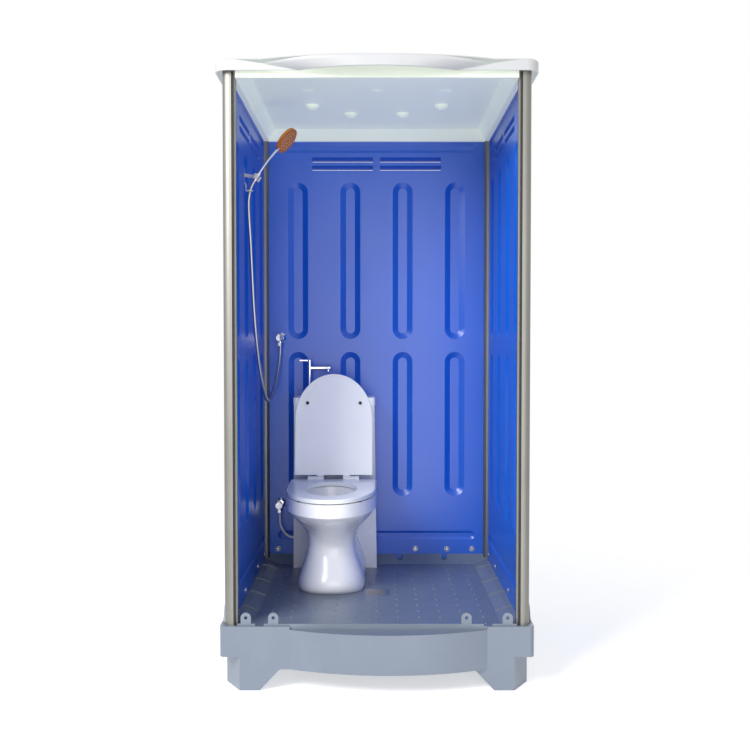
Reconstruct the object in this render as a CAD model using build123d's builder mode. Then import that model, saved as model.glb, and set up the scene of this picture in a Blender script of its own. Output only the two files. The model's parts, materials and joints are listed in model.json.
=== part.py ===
from build123d import *

import os
from math import asin, atan2, cos, hypot, radians, sin, tan

os.makedirs("parts", exist_ok=True)

LOW = (Align.CENTER, Align.CENTER, Align.MIN)
HIGH = (Align.CENTER, Align.CENTER, Align.MAX)

# Base tray
base_width = 1100.0
base_depth = 1100.0
base_wall = 8.0
collar_bottom = 118.0
collar_top = 225.0
collar_corner = 18.0
floor_top = 212.0
deck_thickness = 8.0
foot_inset = 12.0
foot_chamfer_x = 58.0
foot_chamfer_y = 95.0
arch_height = 75.0
side_arch_height = 62.0
arch_foot = 140.0
arch_slope = 70.0
arch_round = 22.0
bow_depth = 68.0
bow_half = 345.0
bow_center_x = 40.0
tread_top = 214.0
lip_setback = 10.0
lip_thickness = 8.0
lip_top = 232.0
lip_gap = 30.0
lip_gap_left = 139.0
lip_gap_right = 162.0
lug_width = 36.0
lug_hole_height = 253.0
lug_hole = 12.0
left_lugs = (91.0, 187.0)
right_lugs = (237.0, 93.0)
cove_width = 65.0
cove_ledge = 24.0
cove_top = 230.0
cove_slope_top = 226.0
rear_cove_width = 56.0
rear_cove_top = 248.0
cove_ribs = (-302.0, -86.0, 120.0, 364.0)
cove_rib_width = 4.0
cove_rib_height = 5.0
rear_notches = (383.0, 180.0)
notch_width = 24.0
notch_depth = 36.0
notch_floor = 2.0
upstand_thickness = 10.0
upstand_top = 278.0
upstand_slope = 30.0

# Corner posts, measured from their outer corner
post_inset = 14.5
post_top = 2181.0
post_reach = 46.0
post_round = 25.0
post_lip = 33.0
post_skin = 2.5
post_chamfer = 10.0
channel_bottom = 19.0
seal_reach = 39.0
slip = 0.2
fit_gap = 0.5

# Wall panels
panel_top = 2146.0
panel_thickness = 24.5
panel_setback = 3.0
panel_skin = 3.5
tongue_thickness = 12.0
recess_width = 91.0
recess_floor = 40.0
recess_depth = 12.0
outer_depth = 6.0
column_count = 4
column_pitch = 238.0
recess_rows = ((515.0, 1175.0), (1234.0, 1945.0))
belt_rows = ((313.0, 354.0, 37.0), (2077.0, 2123.0, 29.0))
belt_slope = 12.0
vent_length = 280.0
vent_height = 22.0
vent_corner = 4.0
vent_drop = 16.0
vent_spread = 308.0
vent_rows = (2009.5, 2046.5)
blow_hole = 6.0
screw_diameter = 5.0
screw_head = 24.0
screw_head_height = 4.0
washer_thickness = 1.6
back_screws_left = (37.0, 425.0)
back_screws_right = (310.0, 166.0, 51.0)
back_screw_z = 271.0
side_screws_front = (309.0,)
side_screws_rear = (274.0, 34.0)
side_screw_z = 257.0

# Roof and ceiling liner
roof_overhang = 9.0
roof_bow = 61.0
roof_bow_half = 275.0
roof_bow_flare = 235.0
roof_round = 12.0
roof_corner = 45.0
roof_edge_bottom = 2145.0
roof_wall = 6.0
roof_crown = 55.0
crown_inset = 60.0
crown_slope = 180.0
crown_corner = 160.0
roof_screw_length = 40.0
liner_bottom = 2127.0
liner_wall = 4.0
liner_lip = 20.0
liner_slope = 36.0
liner_height = 45.0
dimple_radius = 26.0
dimple_depth = 6.0
dimple_rows = ((-185.0, 260.0), (32.0, 260.0), (170.0, 108.0))
dimple_front = -190.0

# Toilet, measured from the left wall, from the back of its tank and from the floor
toilet_side = 323.0
tank_gap = 13.0
tank_depth = 195.0
tank_height = 733.0
tank_half_top = 175.0
tank_half_bottom = 186.0
tank_floor = 378.0
tank_corner = 14.0
block_depth = 110.0
hose_recess_depth = 55.0
hose_recess_height = 348.0
ceramic_wall = 12.0
tank_lid_height = 33.0
tank_lid_overlap = 4.0
rim_length = 740.0
rim_half = 184.0
rim_arc = 258.0
rim_band = 52.0
rim_height = 402.0
rim_tilt = 2.0
bowl_half = 115.0
bowl_long = 160.0
bowl_center = 500.0
sump_half = 55.0
sump_long = 65.0
sump_center = 440.0
sump_height = 215.0
foot_length = 568.0
foot_half = 128.0
foot_arc = 100.0
shin_half = 112.0
waist_half = 100.0
waist_front = 558.0
waist_height = 225.0
belly_half = 143.0
belly_front = 660.0
belly_arc = 205.0
band_step = 6.0
pedestal_rear = 100.0
hollow_top = 372.0
outlet_distance = 255.0
outlet_radius = 45.0
outlet_bore = 32.0
outlet_drop = 17.0
trap_radius = 30.0
trap_height = 245.0
weir_height = 318.0

# Seat, cover and hinge
hinge_distance = 270.0
hinge_rise = 20.0
knuckle_radius = 11.0
pin_radius = 4.0
pin_clearance = 0.15
post_inner = 71.0
post_width = 18.0
knuckle_gap = 1.0
seat_knuckle = 19.0
cover_knuckle = 29.0
hinge_stud = 5.0
hinge_stud_length = 40.0
seat_half = 181.0
seat_front = 467.0
seat_arc = 255.0
seat_thickness = 16.0
seat_rear = 18.0
seat_hole_half = 105.0
seat_hole_long = 150.0
cover_half = 166.0
cover_length = 452.0
cover_rear = 16.0
cover_arc = 195.0
cover_thickness = 12.0
cover_gap = 5.0
cover_rest = 3.0
cover_pocket = 3.0
cover_rim = 9.0
cover_bumper_x = 114.0
cover_bumper_y = 326.0
bumper_radius = 7.0
bumper_air = 0.5
seat_bumper_spots = ((150.0, 120.0), (115.0, 400.0))
seat_bumper_radius = 9.0

# Flush works and fill valve
button_distance = 100.0
bezel_radius = 32.0
bezel_lip = 6.0
bezel_height = 4.0
button_split = 1.2
button_depth = 14.0
button_stem = 4.0
button_travel = 6.0
flush_distance = 82.0
flush_radius = 34.0
flush_flange = 41.0
flush_flange_height = 8.0
flush_tower_height = 262.0
flush_tail = 24.0
flush_seal_height = 4.0
inlet_offset = 113.0
inlet_distance = 33.0
shank_radius = 10.0
shank_drop = 46.0
fill_column = 11.0
fill_height = 300.0
fill_flange = 18.0
fill_flange_height = 6.0
float_radius = 18.5
float_height = 62.0
float_level = 70.0
inlet_nut_height = 10.0
inlet_nut_size = 30.0

# Wall valves, measured from the left wall
shower_valve_side = 73.0
shower_valve_z = 1239.0
toilet_valve_side = 68.0
toilet_valve_z = 483.0
rose_radius = 23.0
rose_height = 7.0
valve_radius = 11.0
valve_length = 62.0
valve_outlet_reach = 46.0
valve_outlet_radius = 9.0
valve_outlet_drop = 22.0
knob_radius = 17.0
knob_length = 20.0
knob_flutes = 8
knob_flute_radius = 4.0
thread_radius = 10.48
stub_neck = 10.2
stub_reach = 22.0
back_nut_size = 30.0
back_nut_height = 8.0
hose_nut_radius = 11.0
hose_nut_height = 14.0

# Shower set: places are given from the left wall, from the cabin's middle and from the ground
hose_radius = 7.0
supply_radius = 5.0
cone_run = 20.0
shower_run = 23.0
supply_run = 32.0
bend_share = 0.45
clip_place = (45.0, -150.0, 1851.0)
clip_axis = Vector(0.47, 0.24, 0.85).normalized()
cone_top = 12.0
cone_bottom = 9.5
cone_length = 32.0
clip_radius = 16.5
clip_height = 20.0
clip_mouth = 15.5
clip_air = 0.3
bracket_z = 1868.0
bracket_width = 32.0
bracket_height = 58.0
bracket_plate = 5.0
arm_radius = 7.0
hook_radius = 2.5
hook_bend = 6.0
hook_route = (
    (-9.0, -125.0, 1842.0),
    (2.0, -140.0, 1825.0),
    (5.0, -160.0, 1808.0),
    (7.0, -174.0, 1797.0),
    (20.0, -179.0, 1797.0),
    (33.0, -169.0, 1797.0),
)
head_place = (155.0, -90.0, 2006.0)
head_normal = Vector(0.74, -0.22, -0.60).normalized()
head_radius = 54.0
head_rim = 10.0
head_back = 12.0
face_radius = 47.0
face_depth = 3.0
handle_radius = 6.0
handle_bury = 5.0
handle_setback = 2.0

# Tank-top tap
tap_offset = 115.0
tap_distance = 65.0
tap_base_radius = 17.0
tap_base_height = 6.0
tap_stem = 9.0
tap_height = 150.0
spout_height = 125.0
spout_length = 94.0
spout_radius = 9.5
aerator_radius = 7.0
aerator_height = 9.0
aerator_setback = 11.0
lever_cap = 9.5
lever_cap_height = 7.0
lever_length = 44.0
lever_width = 8.0
lever_thickness = 4.0
lever_gap = 0.4
tap_shank = 6.0
tap_shank_length = 24.0
lock_nut_radius = 13.0
lock_nut_height = 8.0

# Floor drain and waste
drain_offset = 185.0
drain_distance = 535.0
drain_size = 100.0
drain_frame = 4.0
drain_rim = 5.0
drain_cup_radius = 38.0
drain_cup_depth = 40.0
drain_wall = 2.5
drain_pipe_radius = 25.0
drain_pipe_end = 110.0
grate_thickness = 3.0
grate_slots = 7
grate_slot_width = 5.0
grate_slot_pitch = 11.0
waste_radius = 55.0
waste_wall = 3.2
waste_end = 90.0
waste_flange = 75.0
waste_flange_height = 5.0

# Places worked out from the sizes above
front_reach = base_depth / 2 + max(bow_depth, roof_overhang + roof_bow)
rear_reach = base_depth / 2 + roof_overhang
cabin_y = (front_reach - rear_reach) / 2
front_y = cabin_y - base_depth / 2
foot_half_x = base_width / 2 - foot_inset
post_x = base_width / 2 - post_inset
post_y = base_depth / 2 - post_inset
side_outer = post_x - panel_setback
side_inner = side_outer - panel_thickness
rear_outer = post_y - panel_setback
rear_inner = rear_outer - panel_thickness
back_half = post_x - post_reach - fit_gap
side_half = post_y - post_reach - fit_gap
tongue_reach = post_reach - channel_bottom
panel_height = panel_top - collar_top
channel_outer = panel_setback + tongue_thickness + fit_gap
lip_gaps = (lip_gap_left - base_width / 2, base_width / 2 - lip_gap_right)
lugs = [inset - base_width / 2 for inset in left_lugs] + [base_width / 2 - inset for inset in right_lugs]
wall_y = cabin_y + rear_inner
toilet_x = toilet_side - side_inner
tank_back = wall_y - tank_gap
rim_z = floor_top + rim_height
hinge_y = tank_back - hinge_distance
tank_top = floor_top + tank_height
lid_top = tank_top + tank_lid_height
roof_half = base_width / 2 + roof_overhang
roof_depth_half = base_depth / 2 + roof_overhang
roof_edge_top = post_top + roof_wall
shower_valve_x = shower_valve_side - side_inner
toilet_valve_x = toilet_valve_side - side_inner
bracket_y = cabin_y - column_pitch / 2
bracket_x = -side_inner - recess_depth
seat_air = hinge_rise - seat_thickness
drain_spot = (toilet_x + drain_offset, tank_back - drain_distance)
outlet_spot = (toilet_x, tank_back - outlet_distance)
tap_spot = (toilet_x - tap_offset, tank_back - tap_distance)
inlet_spot = (toilet_x - inlet_offset, tank_back - inlet_distance)
button_spot = (toilet_x, tank_back - button_distance)
flush_spot = (toilet_x, tank_back - flush_distance)
bezel_sleeve = bezel_radius - bezel_lip / 2
button_radius = bezel_radius - bezel_lip - slip
button_top = lid_top + bezel_height
tank_deck = floor_top + tank_floor
flush_seat = tank_deck + flush_seal_height
flush_top = flush_seat + flush_tower_height

rim_plane = Plane(
    origin=(toilet_x, hinge_y, rim_z),
    x_dir=(1, 0, 0),
    z_dir=(0, -sin(radians(rim_tilt)), cos(radians(rim_tilt))),
)
hinge_plane = rim_plane.offset(hinge_rise)
# The open cover leans back until it all but meets the front edge of the tank lid
lid_edge_y = tank_back - tank_depth - tank_lid_overlap - hinge_plane.origin.Y
lid_edge_z = lid_top - hinge_plane.origin.Z
cover_back = cover_gap + cover_thickness + cover_rest
cover_lean = atan2(lid_edge_y, lid_edge_z) - asin(cover_back / hypot(lid_edge_y, lid_edge_z))
cover_plane = Plane(
    origin=hinge_plane.origin,
    x_dir=(1, 0, 0),
    z_dir=(0, cos(cover_lean), -sin(cover_lean)),
)
left_wall = Plane(origin=(-side_outer, cabin_y, collar_top), x_dir=(0, 1, 0), z_dir=(1, 0, 0))
right_wall = Plane(origin=(side_outer, cabin_y, collar_top), x_dir=(0, -1, 0), z_dir=(-1, 0, 0))
back_wall = Plane(origin=(0, cabin_y + rear_outer, collar_top), x_dir=(1, 0, 0), z_dir=(0, -1, 0))

# Each wall with half its width and the spots of its screws, which are measured from its ends
back_screws = [inset - back_half for inset in back_screws_left]
back_screws += [back_half - inset for inset in back_screws_right]
side_screws = [inset - side_half for inset in side_screws_front]
side_screws += [side_half - inset for inset in side_screws_rear]
left_spots = [(along, side_screw_z - collar_top) for along in side_screws]
right_spots = [(-along, side_screw_z - collar_top) for along in side_screws]
back_spots = [(along, back_screw_z - collar_top) for along in back_screws]
walls = (
    ("left", left_wall, side_half, left_spots),
    ("right", right_wall, side_half, right_spots),
    ("back", back_wall, back_half, back_spots),
)


def save(piece, label):
    """Label a finished piece and write its STEP file."""
    piece.part.label = label
    export_step(piece.part, f"parts/{label}.step")


def from_left_wall(place):
    """Point given by its distance from the left wall, from the cabin's middle and from the ground."""
    side, along, height = place
    return Vector(side - side_inner, cabin_y + along, height)


def above_floor(height):
    """Level plane at a height above the cabin floor."""
    return Plane.XY.offset(floor_top + height)


def foot_outline():
    """Foot plan: a rectangle with its four corners cut off at a slant."""
    x, y = foot_half_x, base_depth / 2
    corner = ((x, y - foot_chamfer_y), (x - foot_chamfer_x, y))
    quarters = [corner, tuple((-px, py) for px, py in reversed(corner))]
    quarters += [tuple((-px, -py) for px, py in corner), tuple((px, -py) for px, py in reversed(corner))]
    points = [(px, py + cabin_y) for quarter in quarters for px, py in quarter]
    with BuildLine(Plane.XY) as outline:
        Polyline(*points, close=True)
    make_face(outline.edges())


def bow_outline(center_x, half, edge_y, depth):
    """Bowed front in plan: a chord along the straight edge and one arc in front of it."""
    with BuildLine(Plane.XY) as outline:
        Line((center_x - half, edge_y), (center_x + half, edge_y))
        ThreePointArc((center_x + half, edge_y), (center_x, edge_y - depth), (center_x - half, edge_y))
    make_face(outline.edges())


def arch_outline(middle, half, height, grow):
    """Arch between two feet, in the plane it is cut through."""
    foot = half - arch_foot + grow
    top = foot - arch_slope
    with BuildLine(Plane.XY) as outline:
        Polyline(
            (middle - foot, 0),
            (middle - top, height),
            (middle + top, height),
            (middle + foot, 0),
            close=True,
        )
    make_face(outline.edges())


def d_outline(half, front, arc, rear):
    """Rounded front, straight sides and a straight rear, in plan, with the front towards -Y."""
    with BuildLine(Plane.XY) as outline:
        EllipticalCenterArc((0, arc - front), half, arc, start_angle=180, arc_size=180)
        Polyline((half, arc - front), (half, -rear), (-half, -rear), (-half, arc - front))
    make_face(outline.edges())


def screws_on(plane, spots, length):
    """Screws with washers and crossed recesses at local spots of a plane, heads on its +Z side."""
    top = washer_thickness + screw_head_height
    with BuildPart(plane) as screws:
        with Locations(*spots):
            Cylinder(screw_head / 2, washer_thickness, align=LOW)
            Cylinder(screw_diameter / 2, length, align=HIGH)
        with Locations(*[(x, y, washer_thickness) for x, y in spots]):
            Cone(screw_head / 2 - washer_thickness, screw_head / 4, screw_head_height, align=LOW)
        with Locations(*[(x, y, top) for x, y in spots]):
            Box(screw_head / 3, washer_thickness, 2 * washer_thickness, mode=Mode.SUBTRACT)
            Box(washer_thickness, screw_head / 3, 2 * washer_thickness, mode=Mode.SUBTRACT)
    return screws


def cove_outline(side, rise):
    """Section of a side cove: a slope up from the floor and a ledge by the wall."""
    foot = side_inner - cove_width
    edge = side_inner - fit_gap
    root = floor_top - deck_thickness / 2
    with BuildLine(Plane.XY) as outline:
        Polyline(
            (side * foot, root),
            (side * foot, floor_top + rise),
            (side * (side_inner - cove_ledge), cove_slope_top + rise),
            (side * edge, cove_top + rise),
            (side * edge, root),
            close=True,
        )
    make_face(outline.edges())


# Base tray: hollow from below, on four corner feet
with BuildPart() as base_hollow:
    with BuildSketch(Plane.XY.offset(base_wall)):
        foot_outline()
        offset(amount=-base_wall, mode=Mode.REPLACE)
    extrude(amount=floor_top - deck_thickness - base_wall)
    with BuildSketch(Plane.XZ.offset(-cabin_y)):
        arch_outline(0, base_width / 2, arch_height, base_wall)
    extrude(amount=base_depth, both=True, mode=Mode.SUBTRACT)
    with BuildSketch(Plane.YZ):
        arch_outline(cabin_y, base_depth / 2, side_arch_height, base_wall)
    extrude(amount=base_width, both=True, mode=Mode.SUBTRACT)
    with BuildSketch(Plane.XY.offset(arch_height)):
        with Locations((0, cabin_y)):
            Rectangle(base_width - 2 * arch_foot, base_depth - 2 * arch_foot)
    extrude(amount=floor_top - deck_thickness - arch_height)
    with BuildSketch(Plane.XY.offset(collar_bottom + base_wall)):
        with Locations((0, cabin_y)):
            Rectangle(base_width - 2 * base_wall, base_depth - 2 * base_wall)
    extrude(amount=floor_top - deck_thickness - base_wall - collar_bottom)
    with BuildSketch(Plane.XY.offset(arch_height)):
        bow_outline(bow_center_x, bow_half - 3 * base_wall, front_y + 2 * base_wall, bow_depth + base_wall)
    extrude(amount=tread_top - deck_thickness - arch_height)

with BuildPart() as base_tray:
    with BuildSketch():
        foot_outline()
    extrude(amount=collar_bottom)
    with BuildSketch(Plane.XY.offset(collar_bottom)):
        with Locations((0, cabin_y)):
            RectangleRounded(base_width, base_depth, collar_corner)
    extrude(amount=collar_top - collar_bottom)
    with BuildSketch(Plane.XY.offset(arch_height)):
        bow_outline(bow_center_x, bow_half, front_y, bow_depth)
    extrude(amount=tread_top - arch_height)
    add(base_hollow.part, mode=Mode.SUBTRACT)
    with BuildSketch(Plane.XZ.offset(-cabin_y)) as arch:
        arch_outline(0, base_width / 2, arch_height, 0)
        fillet(arch.vertices().group_by(Axis.Y)[-1], arch_round)
    extrude(amount=base_depth, both=True, mode=Mode.SUBTRACT)
    with BuildSketch(Plane.YZ):
        arch_outline(cabin_y, base_depth / 2, side_arch_height, 0)
    extrude(amount=base_width, both=True, mode=Mode.SUBTRACT)
    # Floor well behind the lip, and the lower tread in front of it
    well_front = front_y + lip_setback + lip_thickness
    well_rear = cabin_y + rear_inner
    with BuildSketch(Plane.XY.offset(floor_top)):
        with Locations((0, (well_front + well_rear) / 2)):
            Rectangle(2 * side_inner, well_rear - well_front)
    extrude(amount=collar_top - floor_top, mode=Mode.SUBTRACT)
    with BuildSketch(Plane.XY.offset(tread_top)):
        with Locations((bow_center_x, front_y + lip_setback / 2)):
            Rectangle(2 * bow_half, lip_setback)
    extrude(amount=collar_top - tread_top, mode=Mode.SUBTRACT)
    # Sloped coves along the side and back walls
    for side in (-1, 1):
        with BuildSketch(Plane.XZ.offset(-well_rear)):
            cove_outline(side, 0)
        extrude(amount=well_rear - well_front - post_reach)
        for rib_y in cove_ribs:
            with BuildSketch(Plane.XZ.offset(-cabin_y - rib_y)):
                cove_outline(side, cove_rib_height)
            extrude(amount=cove_rib_width / 2, both=True)
    with BuildSketch(Plane.YZ.offset(fit_gap - side_inner)):
        with BuildLine():
            Polyline(
                (well_rear - rear_cove_width, floor_top),
                (well_rear - fit_gap, rear_cove_top),
                (well_rear - fit_gap, floor_top),
                close=True,
            )
        make_face()
    extrude(amount=2 * side_inner - 2 * fit_gap)
    with BuildSketch(Plane.XY.offset(floor_top + notch_floor)):
        with Locations(*[(back_half - inset, well_rear) for inset in rear_notches]):
            SlotOverall(2 * notch_depth, notch_width, rotation=90)
            with Locations((0, notch_depth / 2)):
                Rectangle(notch_width, notch_depth, mode=Mode.SUBTRACT)
    extrude(amount=rear_cove_top - floor_top, mode=Mode.SUBTRACT)
    # Upstands outside the panels, with sloped ends
    for _, wall, half, _ in walls:
        with BuildSketch(wall.offset(-panel_setback - fit_gap)):
            with BuildLine():
                Polyline(
                    (-half, 0),
                    (-half + upstand_slope, upstand_top - collar_top),
                    (half - upstand_slope, upstand_top - collar_top),
                    (half, 0),
                    close=True,
                )
            make_face()
        extrude(amount=-upstand_thickness)
    # Front lip with drain gaps, and the lugs that stand on it
    lip_plane = Plane.XZ.offset(-(front_y + lip_setback))
    with BuildSketch(lip_plane):
        with Locations((0, collar_top)):
            Rectangle(2 * back_half, lip_top - collar_top, align=(Align.CENTER, Align.MIN))
        with Locations(*[(x, collar_top) for x in lip_gaps]):
            Rectangle(lip_gap, lip_top - collar_top, align=(Align.CENTER, Align.MIN), mode=Mode.SUBTRACT)
        with Locations(*[(x, lug_hole_height) for x in lugs]):
            Circle(lug_width / 2)
            Rectangle(lug_width, lug_hole_height - collar_top, align=(Align.CENTER, Align.MAX))
            Circle(lug_hole / 2, mode=Mode.SUBTRACT)
    extrude(amount=-lip_thickness)
    # Room for the posts, the waste pipe, the drain and the panel screws
    with BuildSketch(Plane.XY.offset(collar_top)):
        with Locations((0, cabin_y)):
            with GridLocations(2 * post_x - post_reach, 2 * post_y - post_reach, 2, 2):
                Rectangle(post_reach + 2 * fit_gap, post_reach + 2 * fit_gap)
    extrude(amount=upstand_top - collar_top, mode=Mode.SUBTRACT)
    with BuildSketch(Plane.XY.offset(floor_top)):
        with Locations(outlet_spot):
            Circle(waste_radius + slip)
        with Locations(drain_spot):
            Circle(drain_cup_radius + slip)
    extrude(amount=-2 * deck_thickness, mode=Mode.SUBTRACT)
    with BuildSketch(Plane.XY.offset(floor_top)):
        with Locations(drain_spot):
            Rectangle(drain_size + 2 * slip, drain_size + 2 * slip)
    extrude(amount=-drain_frame, mode=Mode.SUBTRACT)
    for _, wall, _, spots in walls:
        with BuildSketch(wall):
            with Locations(*spots):
                Circle(screw_diameter / 2 + slip)
        extrude(amount=-2 * upstand_thickness, mode=Mode.SUBTRACT)
save(base_tray, "base_tray")


# Corner posts: one extrusion, turned so that its channels face along the walls
def corner_plane(side_x, side_y):
    """Plane at a post's outer corner whose X and Y both run inwards."""
    return Plane(
        origin=(side_x * post_x, cabin_y + side_y * post_y, collar_top),
        x_dir=(-side_x, 0, 0),
        z_dir=(0, 0, side_x * side_y),
    )


def corner_post(side_x, side_y):
    """Aluminium post with a round corner, two channels, a hollow core and a screw port."""
    core = (channel_outer + post_skin, post_reach - post_skin)
    core_middle = (core[0] + core[1]) / 2
    core_size = core[1] - core[0]
    with BuildPart() as post:
        with BuildSketch(corner_plane(side_x, side_y)) as section:
            with BuildLine():
                Line((0, post_lip), (0, post_round))
                CenterArc((post_round, post_round), post_round, 180, 90)
                Polyline(
                    (post_round, 0),
                    (post_lip, 0),
                    (post_lip, post_skin),
                    (channel_bottom, post_skin),
                    (channel_bottom, channel_outer),
                    (post_reach, channel_outer),
                    (post_reach, post_reach - post_chamfer),
                    (post_reach - post_chamfer, post_reach),
                    (channel_outer, post_reach),
                    (channel_outer, channel_bottom),
                    (post_skin, channel_bottom),
                    (post_skin, post_lip),
                    (0, post_lip),
                )
            make_face()
            with BuildLine():
                Polyline(
                    (core[0], core[0]),
                    (core[1], core[0]),
                    (core[1], core[1] - post_chamfer),
                    (core[1] - post_chamfer, core[1]),
                    (core[0], core[1]),
                    close=True,
                )
            make_face(mode=Mode.SUBTRACT)
            with Locations((core_middle, core_middle)):
                Circle(screw_diameter)
                Rectangle(core_size, post_skin)
                Circle(screw_diameter / 2 + slip, mode=Mode.SUBTRACT)
        extrude(amount=side_x * side_y * (post_top - collar_top))
    return post


def front_seal(side_x):
    """Rubber strip in the door-side channel of a front post."""
    with BuildPart() as seal:
        with BuildSketch(corner_plane(side_x, -1)):
            with BuildLine():
                Polyline(
                    (channel_bottom + slip, post_skin + slip),
                    (seal_reach, post_skin + slip),
                    (seal_reach, channel_outer - slip),
                    (channel_bottom + slip, channel_outer - slip),
                    close=True,
                )
            make_face()
        extrude(amount=-side_x * (panel_top - collar_top))
    return seal


for end_name, side_y in (("front", -1), ("rear", 1)):
    for side_name, side_x in (("left", -1), ("right", 1)):
        save(corner_post(side_x, side_y), f"{end_name}_{side_name}_post")
for side_name, side_x in (("left", -1), ("right", 1)):
    save(front_seal(side_x), f"front_{side_name}_seal")


# Wall panels: local X along the wall, local Y up from the collar, local Z into the cabin
first_column = -(column_count - 1) / 2 * column_pitch
columns = [first_column + number * column_pitch for number in range(column_count)]
ribs = [(x, (low + high) / 2 - collar_top, high - low) for low, high in recess_rows for x in columns]
belts = [((low + high) / 2 - collar_top, high - low, inset) for low, high, inset in belt_rows]
vents = [(side * vent_spread / 2, z - collar_top) for z in vent_rows for side in (-1, 1)]


def recess(plane, middle, length, width, floor_width, depth, turn):
    """Mouth and floor of a slot-shaped recess with sloped sides, pressed in from a plane."""
    with BuildSketch(plane) as mouth:
        with Locations(middle):
            SlotOverall(length, width, rotation=turn)
    with BuildSketch(plane.offset(-depth)) as floor:
        with Locations(middle):
            SlotOverall(length - width + floor_width, floor_width, rotation=turn)
    return [mouth.sketch, floor.sketch]


def vent_sections(wall, x, z):
    """Ends of a vent slot, which falls towards the outside to keep the rain out."""
    with BuildSketch(wall.offset(panel_thickness)) as inside:
        with Locations((x, z)):
            RectangleRounded(vent_length, vent_height, vent_corner)
    with BuildSketch(wall) as outside:
        with Locations((x, z - vent_drop)):
            RectangleRounded(vent_length, vent_height, vent_corner)
    return [inside.sketch, outside.sketch]


def panel_void(wall, half):
    """Hollow between the two skins, left out round every rib, belt and vent."""
    with BuildPart() as void:
        with BuildSketch(wall.offset(panel_skin)):
            with Locations((0, panel_height / 2)):
                Rectangle(2 * half - 2 * panel_skin, panel_height - 2 * panel_skin)
            for x, z, length in ribs:
                with Locations((x, z)):
                    SlotOverall(length, recess_width, rotation=90, mode=Mode.SUBTRACT)
            for z, height, inset in belts:
                with Locations((0, z)):
                    SlotOverall(2 * half - 2 * inset, height, mode=Mode.SUBTRACT)
            with Locations(*[(x, z - vent_drop / 2) for x, z in vents]):
                sleeve_height = vent_height + vent_drop + 2 * panel_skin
                Rectangle(vent_length + 2 * panel_skin, sleeve_height, mode=Mode.SUBTRACT)
        extrude(amount=panel_thickness - 2 * panel_skin)
        with BuildSketch(wall.offset(panel_thickness / 2)):
            with Locations((0, panel_skin)):
                Rectangle(blow_hole, 2 * panel_skin)
        extrude(amount=blow_hole / 2, both=True)
    return void


def wall_panel(wall, half, screw_spots, pipe_spots):
    """Twin-wall panel with edge tongues, pressed ribs on both faces and vent slots."""
    void = panel_void(wall, half)
    inner_face = wall.offset(panel_thickness)
    outer_face = Plane(origin=wall.origin, x_dir=-wall.x_dir, z_dir=-wall.z_dir)
    with BuildPart() as panel:
        with BuildSketch(wall):
            Rectangle(2 * half, panel_height, align=(Align.CENTER, Align.MIN))
        extrude(amount=panel_thickness)
        with BuildSketch(wall):
            Rectangle(2 * half + 2 * tongue_reach, panel_height, align=(Align.CENTER, Align.MIN))
        extrude(amount=tongue_thickness)
        add(void.part, mode=Mode.SUBTRACT)
        for x, z, length in ribs:
            pressed = recess(inner_face, (x, z), length, recess_width, recess_floor, recess_depth, 90)
            loft(pressed, mode=Mode.SUBTRACT)
            pressed = recess(outer_face, (-x, z), length, recess_width, recess_floor, outer_depth, 90)
            loft(pressed, mode=Mode.SUBTRACT)
        for z, height, inset in belts:
            belt_floor = height - 2 * belt_slope
            pressed = recess(inner_face, (0, z), 2 * half - 2 * inset, height, belt_floor, outer_depth, 0)
            loft(pressed, mode=Mode.SUBTRACT)
        for x, z in vents:
            loft(vent_sections(wall, x, z), mode=Mode.SUBTRACT)
        with BuildSketch(wall):
            with Locations(*screw_spots):
                Circle(screw_diameter / 2 + slip)
            if pipe_spots:
                with Locations(*pipe_spots):
                    Circle(thread_radius + slip)
        extrude(amount=panel_thickness, mode=Mode.SUBTRACT)
    return panel


valve_spots = [
    (shower_valve_x, shower_valve_z - collar_top),
    (toilet_valve_x, toilet_valve_z - collar_top),
]
for wall_name, wall, half, spots in walls:
    pipe_spots = valve_spots if wall_name == "back" else []
    save(wall_panel(wall, half, spots, pipe_spots), f"{wall_name}_wall_panel")

screw_length = panel_thickness + panel_setback + fit_gap + upstand_thickness
with BuildPart() as panel_screws:
    for _, wall, _, spots in walls:
        add(screws_on(wall.offset(panel_thickness), spots, screw_length).part)
save(panel_screws, "panel_screws")


# Ceiling liner: a pan with a sloped rim, carried on the panel tops
liner_front = -post_y + post_skin
liner_rear = rear_inner - fit_gap
liner_side = side_inner - fit_gap
liner_length = liner_rear - liner_front
liner_y = cabin_y + (liner_rear + liner_front) / 2


def liner_rectangle(level, inset):
    """Rectangle of the liner's plan at a level, set in from its outer walls."""
    with BuildSketch(Plane.XY.offset(level)) as outline:
        with Locations((0, liner_y)):
            Rectangle(2 * liner_side - 2 * inset, liner_length - 2 * inset)
    return outline.sketch


def liner_frustum(bottom, top, inset):
    """Sections of the pan's sloped inner walls between two levels."""
    return [liner_rectangle(bottom, inset), liner_rectangle(top, inset + liner_slope)]


liner_ceiling = liner_bottom + liner_height
dimples = [(0, dimple_front)]
dimples += [(side * x, y) for y, x in dimple_rows for side in (-1, 1)]


def dimple(x, y):
    """Low dome under the ceiling, let into the liner's wall."""
    ball = (dimple_radius**2 + dimple_depth**2) / (2 * dimple_depth)
    with BuildPart(Plane(origin=(x, cabin_y + y, liner_ceiling - dimple_depth))) as dome:
        Cylinder(ball, dimple_depth + liner_wall / 2, align=LOW)
        with Locations((0, 0, ball)):
            Sphere(ball, mode=Mode.INTERSECT)
    return dome.part


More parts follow.
